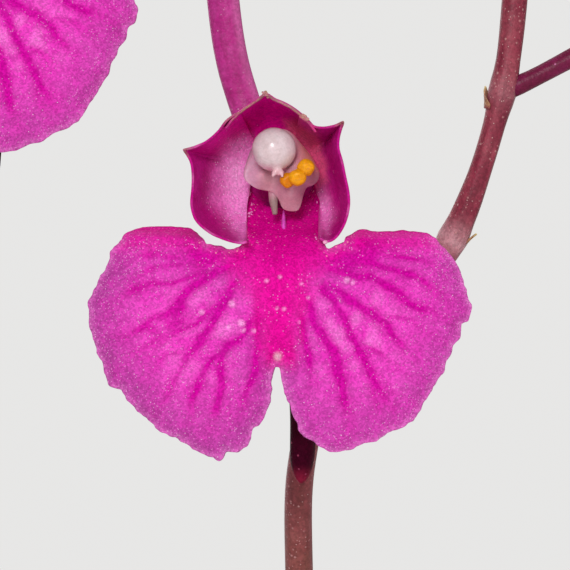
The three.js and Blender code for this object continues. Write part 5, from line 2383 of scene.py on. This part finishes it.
@dataclass
class Column:
    """The pale column with its wings and lobes, its anther cap and its pollinia."""

    middle: tuple[float, float] = (0.25, 4.35)
    ring: Ring = (
        (0.25, 6.37), (-0.6, 6.1), (-1.3, 5.5), (-1.62, 4.75), (-1.82, 3.98), (-1.74, 3.68), (-1.39, 3.38),
        (-1.0, 3.2), (-0.63, 3.12), (-0.3, 3.02), (0.02, 2.66), (0.24, 2.2), (0.45, 2.08), (0.7, 2.04),
        (1.02, 2.07), (1.2, 2.35), (1.36, 2.95), (1.53, 3.3), (1.82, 3.37), (2.1, 3.64), (2.19, 4.02),
        (2.02, 4.45), (1.62, 5.1), (1.14, 5.7), (0.75, 6.15),
    )
    back: float = 2.7
    green_lobe: Line = (
        (-0.2, 1.3, 3.6), (-0.24, 1.05, 2.75), (-0.16, 1.0, 1.86),
    )
    cap: Place = (-0.2, -0.55, 5.25)
    cap_size: float = 1.16
    fringe: tuple[tuple[float, float, float, float], ...] = (
        (-0.02, -0.98, 4.16, 0.26), (-0.22, -1.12, 4.02, 0.12), (0.2, -1.1, 4.03, 0.12),
        (-0.27, -1.2, 3.87, 0.085), (-0.16, -1.2, 3.94, 0.07), (0.22, -1.16, 3.86, 0.085),
    )
    pollinia: tuple[tuple[Place, float, float], ...] = (
        ((1.47, -0.98, 4.3), 0.47, 0.0), ((1.03, -1.1, 3.76), 0.47, 0.0), ((0.5, -0.8, 3.64), 0.42, 1.0),
    )

    @staticmethod
    def hump(x: Points, z: Points, middle: tuple[float, float], wide: float, high: float) -> Points:
        """A soft round rise on the column's front."""
        return np.exp(-((x - middle[0]) ** 2 / wide**2 + (z - middle[1]) ** 2 / high**2))

    def front(self, x: Points, z: Points) -> Points:
        """How near the viewer the column's front lies.

        Args:
            x: places across.
            z: their heights.

        Returns:
            The depths.
        """
        y = 0.85 - 1.3 * self.hump(x, z, (0.95, 4.0), 1.05, 1.0)
        y = y - 0.75 * self.hump(x, z, (-1.0, 3.85), 0.75, 0.7)
        y = y - 0.7 * self.hump(x, z, (0.65, 2.9), 0.55, 0.75)
        y = y - 0.5 * self.hump(x, z, (1.2, 5.2), 0.9, 0.9)
        return y + 0.35 * self.hump(x, z, (-0.15, 3.75), 0.45, 0.55)

    @staticmethod
    def lobe_radius(t: Points, angle: Points) -> Points:
        """Radius of the green lobe, which is round and tapers."""
        return mix(0.32, 0.13, t**1.5) + 0 * angle

    def wax(self, around: int, along: int, with_cap: bool) -> Piece:
        """The column's body, drawn out from its outline.

        Args:
            around: faces round its outline.
            along: faces from its front to its back.
            with_cap: whether its cap is part of it.

        Returns:
            The column, in the bloom's frame.
        """
        line = Way([(x, 0.0, z) for x, z in self.ring], closed=True)
        middle = np.array([self.middle[0], 0.0, self.middle[1]])

        def shape(u: Points, v: Points) -> Points:
            """Draws the body out from its outline.

            Args:
                u: shares across.
                v: shares along.

            Returns:
                The points.
            """
            share = np.sin(math.pi * v) ** 0.85
            points = middle + (line.along(u) - middle) * share[:, None]
            x, z = points[:, 0], points[:, 2]
            thin = 0.35 + 0.55 * smooth(-1.6, -0.4, x)
            rim = np.where(z < 3.2, 0.8, thin) + 0.2 * smooth(4.5, 6.0, z)
            front = mix(rim, self.front(x, z), np.sqrt(np.maximum(0.0, 1 - share**4)))
            rear = mix(rim, self.back, np.maximum(0.0, 1 - share**3))
            points[:, 1] = np.where(v < 0.5, front, rear)
            return points

        piece = sheet("column", around, along, shape)
        weld(piece)
        refine(piece)
        lobe = tube("green_lobe", Way(self.green_lobe), self.lobe_radius, 20, 24)
        refine(lobe)
        for part, green in ((piece, 0.0), (lobe, 1.0)):
            points = read(part)
            points += 0.02 * ripple(points, 0.6, 71)[:, None] * outwards(part)
            write(part, points)
            x, y, z = points.T
            hollow = self.hump(x, z, (-0.15, 3.6), 0.5, 0.5) * (1 - green)
            mark(
                part,
                green=green * smooth(3.1, 2.5, z),
                salmon=smooth(0.7, 1.7, x) * smooth(3.7, 4.5, z),
                lilac=smooth(-0.5, -1.5, x) * (1 - green),
                dull=0.35 * smooth(3.9, 3.0, z) + 0.5 * hollow,
            )
        whole = [dress(piece, COLUMN_WAX), dress(lobe, COLUMN_WAX)]
        if with_cap:
            whole.append(self.capping(0.2))
        return joined("column", whole)

    def capping(self, grain: float) -> Piece:
        """The round anther cap with its ragged lower edge.

        Args:
            grain: size of a face of its skin.

        Returns:
            The cap, in the bloom's frame.
        """
        size = self.cap_size
        parts = [ball("cap", self.cap, (size, size, 0.985 * size), 48)]
        parts += [ball("lobe", (x, y, z), (r, r, 1.15 * r), 16) for x, y, z, r in self.fringe]
        piece = fused("anther_cap", parts, grain, 4)
        points = read(piece)
        points += 0.015 * ripple(points, 0.6, 72)[:, None] * outwards(piece)
        write(piece, points)
        mark(piece, blush=smooth(4.6, 4.05, points[:, 2]) + 0.3 * smooth(0.2, 0.9, points[:, 0]))
        return dress(piece, CAP_WAX)

    def pollen(self) -> Piece:
        """Makes the waxy pollinia.

        Returns:
            The pollinia, in the bloom's frame.
        """
        parts = []
        for centre, size, shade in self.pollinia:
            part = ball("pollinium", centre, (size, 0.85 * size, 0.97 * size), 36)
            points = read(part)
            x, z = points[:, 0] - centre[0], points[:, 2] - centre[2]
            dent = np.exp(-((x - 0.06) ** 2 + (z + 0.04) ** 2) / 0.16**2) * (points[:, 1] < centre[1])
            points += (-0.09 * dent + 0.06 * ripple(points, 0.35, 73))[:, None] * outwards(part)
            write(part, points)
            mark(part, shade=np.clip(0.7 * shade + 0.6 * smooth(0.05, -size, z) + 0.35 * dent, 0, 1))
            parts.append(part)
        return dress(joined("pollinia", parts), POLLEN_WAX)


@dataclass
class Back:
    """What lies behind the bloom: the receptacle, the two side sepals grown into one, and the spur."""

    spur_way: Line = (
        (0, 4.2, 3), (0.4, 5.4, 0.6), (1.15, 6.5, -3.5), (1.35, 7.1, -8.5), (1.25, 7.4, -12.5),
    )
    mouth: float = 1.25
    end: float = 0.62
    sepal_thick: float = 0.34

    def radius(self, t: Points, angle: Points) -> Points:
        """Radius of the spur along its length.

        Args:
            t: shares of the length.
            angle: angles about it.

        Returns:
            The radii.
        """
        blunt = np.where(t > 0.9, np.sqrt(np.maximum(0.04, 1 - ((t - 0.9) / 0.101) ** 2)), 1.0)
        furrow = 1 - 0.09 * bell((np.cos(angle) - 1) / 0.12) * smooth(0.05, 0.3, t)
        waves = 1 + 0.03 * np.sin(23 * t) + 0.02 * np.sin(2 * angle + 14 * t)
        return mix(self.mouth, self.end, t**0.8) * blunt * furrow * waves

    def boat(self, across: int) -> Piece:
        """Makes the side sepals, grown into one boat behind the claw.

        Args:
            across: faces across and along.

        Returns:
            The boat.
        """

        def shape(u: Points, v: Points) -> Points:
            """Lays the boat.

            Args:
                u: shares across.
                v: shares along.

            Returns:
                The points.
            """
            side = 2 * u - 1
            half = 2.2 * np.sin(math.pi * mix(0.42, 0.93, v)) ** 0.8
            keel = 0.16 * bell(side / 0.16)
            return stack(side * half, 5.2 - 2.7 * v**2 - side**2 + keel, mix(4.2, -2.3, v))

        piece = sheet("side_sepals", across, across, shape)
        mark(piece, rosy=1.0)
        thicken(piece, self.sepal_thick)
        refine(piece)
        return piece

    def build(self, sides: int, steps: int) -> Piece:
        """Makes the back.

        Args:
            sides: faces round the spur.
            steps: faces along it.

        Returns:
            The back, in the bloom's frame.
        """
        spur = tube("spur", Way(self.spur_way), self.radius, sides, steps)
        points = read(spur)
        mark(spur, rosy=smooth(1.2, 3.4, points[:, 2]))
        # painted highlight: lighter red at the rounded tip
        mark(spur, tip=smooth(-11.4, -12.5, points[:, 2]))
        seat = ball("receptacle", (0, 4.1, 4.2), (2.2, 1.1, 2.1), sides + sides % 2)
        mark(seat, rosy=1.0)
        return dress(joined("back", [spur, seat, self.boat(max(6, sides // 2))]), SPUR_SKIN)


@dataclass
class Bloom:
    """One bloom on its stalk.

    Args:
        name: its name.
        stem: the stem that bears it.
        share: where its stalk leaves, as a share of the stem's length.
        origin: where its own frame stands.
        turn: which way it faces; 0 is the front.
        nod: how far it looks down.
        size: size beside the main bloom.
    """

    name: str
    stem: FlowerStem
    share: float
    origin: Place
    turn: float
    nod: float
    size: float
    ovary: float = 0.86
    stalk_foot: float = 0.5

    @property
    def matrix(self) -> Matrix:
        """From the bloom's frame to the plant's."""
        move = Matrix.Translation(self.origin)
        return move @ turned(self.turn, "Z") @ turned(self.nod, "X") @ Matrix.Scale(self.size, 4)

    def stalk(self, sides: int, steps: int) -> Piece:
        """The ovary and stalk, from the back of the hood to the stem, in the plant's frame.

        Args:
            sides: faces round it.
            steps: faces along it.

        Returns:
            The stalk.
        """
        foot, run = self.stem.way.along(self.share)[0], self.stem.way.heading(self.share)[0]
        start, bend, above = (
            np.array(self.matrix @ Vector(p)) for p in ((-0.5, 4.6, 4.4), (-1.9, 5, 8.2), (-2.6, 4.8, 11))
        )
        middle = mix(above, foot, 0.5)
        middle[2] += 0.22 * math.hypot(foot[0] - above[0], foot[1] - above[1])
        away = unit(middle - foot)
        end = foot + away * 0.6 * float(self.stem.radius(self.share))
        way = Way([start, bend, above, middle, end])

        def radius(t: Points, angle: Points) -> Points:
            """Radius of the ribbed ovary and the stalk.

            Args:
                t: shares of the length.
                angle: angles about it.

            Returns:
                The radii.
            """
            body = mix(self.ovary, self.stalk_foot, smooth(0.35, 0.95, t))
            ribs = 1 + 0.05 * np.cos(3 * angle + 5 * t) * smooth(0.7, 0.4, t)
            return self.size * body * ribs * (1 + 0.1 * smooth(0.93, 1.0, t))

        piece = tube("stalk", way, radius, sides, steps)
        along = marked(piece, "along")
        facing = outwards(piece)
        # painted highlight: lighter where the stalk faces right and front
        mark(piece, painted_lit_side=smooth(0.1, 0.75, facing[:, 0]) * smooth(0.2, -0.5, facing[:, 1]))
        mark(piece, dusky=smooth(0.35, 0.7, along))
        return dress(piece, STALK_SKIN)


@dataclass
class Blooms:
    """All the blooms: the main one in full, its neighbour's lip fine too, and the others copied from one."""

    main: Bloom
    neighbour: Bloom
    others: tuple[Bloom, ...]

    @staticmethod
    def hood(across: int, along: int) -> list[Piece]:
        """The hood's three blades."""
        return [organ.build(across, along) for organ in (PETAL_LEFT, PETAL_RIGHT, SEPAL)]

    def deliver_main(self) -> None:
        """Makes the main bloom, organ by organ."""
        matrix = self.main.matrix
        lip = Lip()
        node = "flower_main"
        petals = self.hood(52, 28)
        made = [("lip", lip.build("lip")), ("keel_and_grains", Keel(lip).build(30))]
        made += list(zip(("petal_left", "petal_right", "back_sepal"), petals))
        made.append(("spur_and_side_sepals", Back().build(32, 90)))
        for title, piece in made:
            piece.name = f"bloom_main_{title}"
            deliver(place(piece, matrix), "petal", node)
        stalk = self.main.stalk(32, 90)
        stalk.name = "bloom_main_stalk"
        deliver(stalk, "petal", node)
        column = Column()
        for title, piece, slot, solid in (
            ("column", column.wax(96, 40, False), "column", "column_main"),
            ("anther_cap", column.capping(0.055), "anther", "anther_cap_main"),
            ("pollinia", column.pollen(), "pollen", "pollinia_main"),
        ):
            piece.name = f"bloom_main_{title}"
            deliver(place(piece, matrix), slot, solid)

    def deliver_side(self, bloom: Bloom, lip: Piece, rest: list[Piece], column: Piece) -> None:
        """Copies the lighter bloom to one place.

        Args:
            bloom: the bloom to make.
            lip: its lip, to copy.
            rest: its other organs, to copy.
            column: its column, to copy.
        """
        parts = [place(twin(part, "part"), bloom.matrix) for part in (lip, *rest)]
        parts.append(bloom.stalk(14, 40))
        whole = joined(f"bloom_{bloom.name}", parts)
        deliver(whole, "petal", f"flower_{bloom.name}")
        copy = place(twin(column, f"bloom_{bloom.name}_column"), bloom.matrix)
        deliver(copy, "column", f"column_{bloom.name}")

    def build(self) -> None:
        """Makes every bloom."""
        self.deliver_main()
        light = Lip(cell=0.48)
        rest = [Keel(light).build(4), *self.hood(20, 8), Back().build(12, 24)]
        column = Column().wax(28, 10, True)
        fine, plain = Lip(cell=0.26).build("lip_fine"), light.build("lip_plain")
        self.deliver_side(self.neighbour, fine, rest, column)
        for bloom in self.others:
            self.deliver_side(bloom, plain, rest, column)
        for part in (fine, plain, column, *rest):
            bpy.data.objects.remove(part)


BLOOMS = Blooms(
    Bloom("main", LEFT_STEM, 0.936, (4, -62, 190), 0, 4, 1),
    Bloom("a4", LEFT_STEM, 0.867, (-13.7, -59, 206), -4, 5, 1),
    (
        Bloom("a1", LEFT_STEM, 0.54, (-58, 2, 176), -104, 8, 0.98),
        Bloom("a2", LEFT_STEM, 0.654, (-60, -34, 203), -62, 6, 1),
        Bloom("a3", LEFT_STEM, 0.791, (-40, -58, 209), -30, 5, 1),
        Bloom("b1", RIGHT_STEM, 0.617, (37, -54, 187), 55, 6, 1),
        Bloom("b2", RIGHT_STEM, 0.703, (38, -62, 212), 24, 4, 0.98),
        Bloom("b3", RIGHT_STEM, 0.791, (44, -22, 222), 140, 8, 0.95),
        Bloom("b4", RIGHT_STEM, 0.858, (60, -50, 224), 40, 5, 0.92),
    ),
)


@dataclass
class Bud:
    """A closed bud on a short stalk.

    Args:
        name: its name.
        stem: the stem that bears it.
        share: where its stalk leaves.
        tip: where its tip is.
    """

    name: str
    stem: FlowerStem
    share: float
    tip: Place

    @staticmethod
    def fullness(t: Points) -> Points:
        """Radius of the stalk and the bud, from the stem to the bud's tip."""
        body = np.clip((t - 0.36) / 0.64, 0.0, 1.0) ** 0.92
        return 0.42 + 1.5 * np.maximum(np.sin(math.pi * body), 0.0) ** 0.8

    def build(self) -> None:
        """Makes the bud with the seams of its sepals."""
        foot, tip = self.stem.way.along(self.share)[0], np.array(self.tip, float)
        away = unit(tip - foot)
        start = foot + 0.3 * away
        middle = mix(start, tip, 0.5)
        middle[2] += 0.8

        def radius(t: Points, angle: Points) -> Points:
            """Radius of the seamed bud and its stalk.

            Args:
                t: shares of the length.
                angle: angles about it.

            Returns:
                The radii.
            """
            seam = 1 - 0.11 * np.abs(np.cos(1.5 * angle + 0.8 * t)) ** 14 * smooth(0.42, 0.6, t)
            end = np.sqrt(np.clip((1.0 - t) / 0.045, 0.02, 1.0))
            return self.fullness(t) * seam * end

        piece = tube(f"{self.name}_closed", Way([start, middle, tip]), radius, 36, 60)
        along = marked(piece, "along")
        mark(piece, green=smooth(0.55, 0.3, along) + 0.4 * smooth(0.93, 1.0, along))
        centres = Way([start, middle, tip]).along(along)
        far = np.linalg.norm(read(piece) - centres, axis=1)
        body = smooth(0.42, 0.6, along) * smooth(0.96, 0.9, along)
        mark(piece, seam=smooth(0.97, 0.9, far / self.fullness(along)) * body)
        deliver(dress(piece, BUD_SKIN), "bud", self.name)


BUDS = (
    Bud("bud_a1", LEFT_STEM, 0.965, (10.5, -66, 210)),
    Bud("bud_a2", LEFT_STEM, 0.985, (17.5, -59.5, 210.5)),
    Bud("bud_a3", LEFT_STEM, 1.0, (20, -67.5, 214)),
    Bud("bud_b1", RIGHT_STEM, 0.954, (73.5, -33, 229.5)),
    Bud("bud_b2", RIGHT_STEM, 1.0, (79, -19, 222.5)),
)


# The studio


@dataclass
class Studio:
    """A plain pale floor, soft lights, and the camera before the main bloom. In metres."""

    eye: Place = (0.004366, -0.321239, 0.170035)
    aim: Place = (0.004366, -0.061872, 0.188172)
    lens: float = 313.6
    sensor: float = 36.0
    ambient: float = 0.3
    backdrop: float = 0.8
    lamps: tuple[tuple[str, Place, float, float], ...] = (
        ("key", (-0.14, -0.95, 0.24), 18.0, 0.6),
        ("fill", (0.85, -0.5, 0.25), 40.0, 0.12),
        ("top", (0.1, 0.25, 1.0), 40.0, 0.45),
        ("back", (-0.5, 0.9, 0.35), 40.0, 0.2),
    )

    def light(self) -> None:
        """Sets the soft lights, each by its direction, width and share, and the pale surroundings."""
        for name, towards, width, share in self.lamps:
            data = bpy.data.lights.new(name, "SUN")
            data.angle = math.radians(width)
            data.energy = math.pi * share
            lamp = bpy.data.objects.new(name, data)
            lamp.rotation_euler = Vector(towards).to_track_quat("Z", "Y").to_euler()
            bpy.context.scene.collection.objects.link(lamp)
        world = bpy.data.worlds.new("studio")
        bpy.context.scene.world = world
        world.use_nodes = True
        tree = world.node_tree
        ground = tree.nodes["Background"]
        ground.inputs["Color"].default_value = (1.0, 0.995, 0.985, 1.0)
        path = tree.nodes.new("ShaderNodeLightPath")
        level = tree.nodes.new("ShaderNodeMapRange")
        level.inputs["To Min"].default_value = self.ambient
        level.inputs["To Max"].default_value = self.backdrop
        tree.links.new(path.outputs["Is Camera Ray"], level.inputs["Value"])
        tree.links.new(level.outputs[0], ground.inputs["Strength"])

    def build(self) -> None:
        """Sets up the floor, the lights and the camera."""
        pick()
        bpy.ops.mesh.primitive_plane_add(size=30.0)
        floor = bpy.context.active_object
        floor.name = "floor"
        dress(floor, FLOOR)
        self.light()
        data = bpy.data.cameras.new("camera")
        data.lens = self.lens
        data.sensor_width = self.sensor
        data.clip_start = 0.02
        data.clip_end = 60.0
        camera = bpy.data.objects.new("camera", data)
        camera.location = self.eye
        camera.rotation_euler = (Vector(self.aim) - Vector(self.eye)).to_track_quat("-Z", "Y").to_euler()
        bpy.context.scene.collection.objects.link(camera)
        bpy.context.scene.camera = camera
        bpy.context.scene.view_settings.view_transform = "Standard"


def main() -> None:
    """Builds the plant around its solids; each piece's face count is logged as it is delivered."""
    logging.basicConfig(level=logging.INFO, format="%(message)s")
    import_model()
    Studio().build()
    pot = Pot()
    pot.build()
    Medium(pot).build()
    Roots().build()
    for shoot in SHOOTS:
        shoot.build()
    for stem in (LEFT_STEM, RIGHT_STEM):
        stem.build()
    BLOOMS.build()
    for bud in BUDS:
        bud.build()
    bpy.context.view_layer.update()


if __name__ == "__main__":
    main()
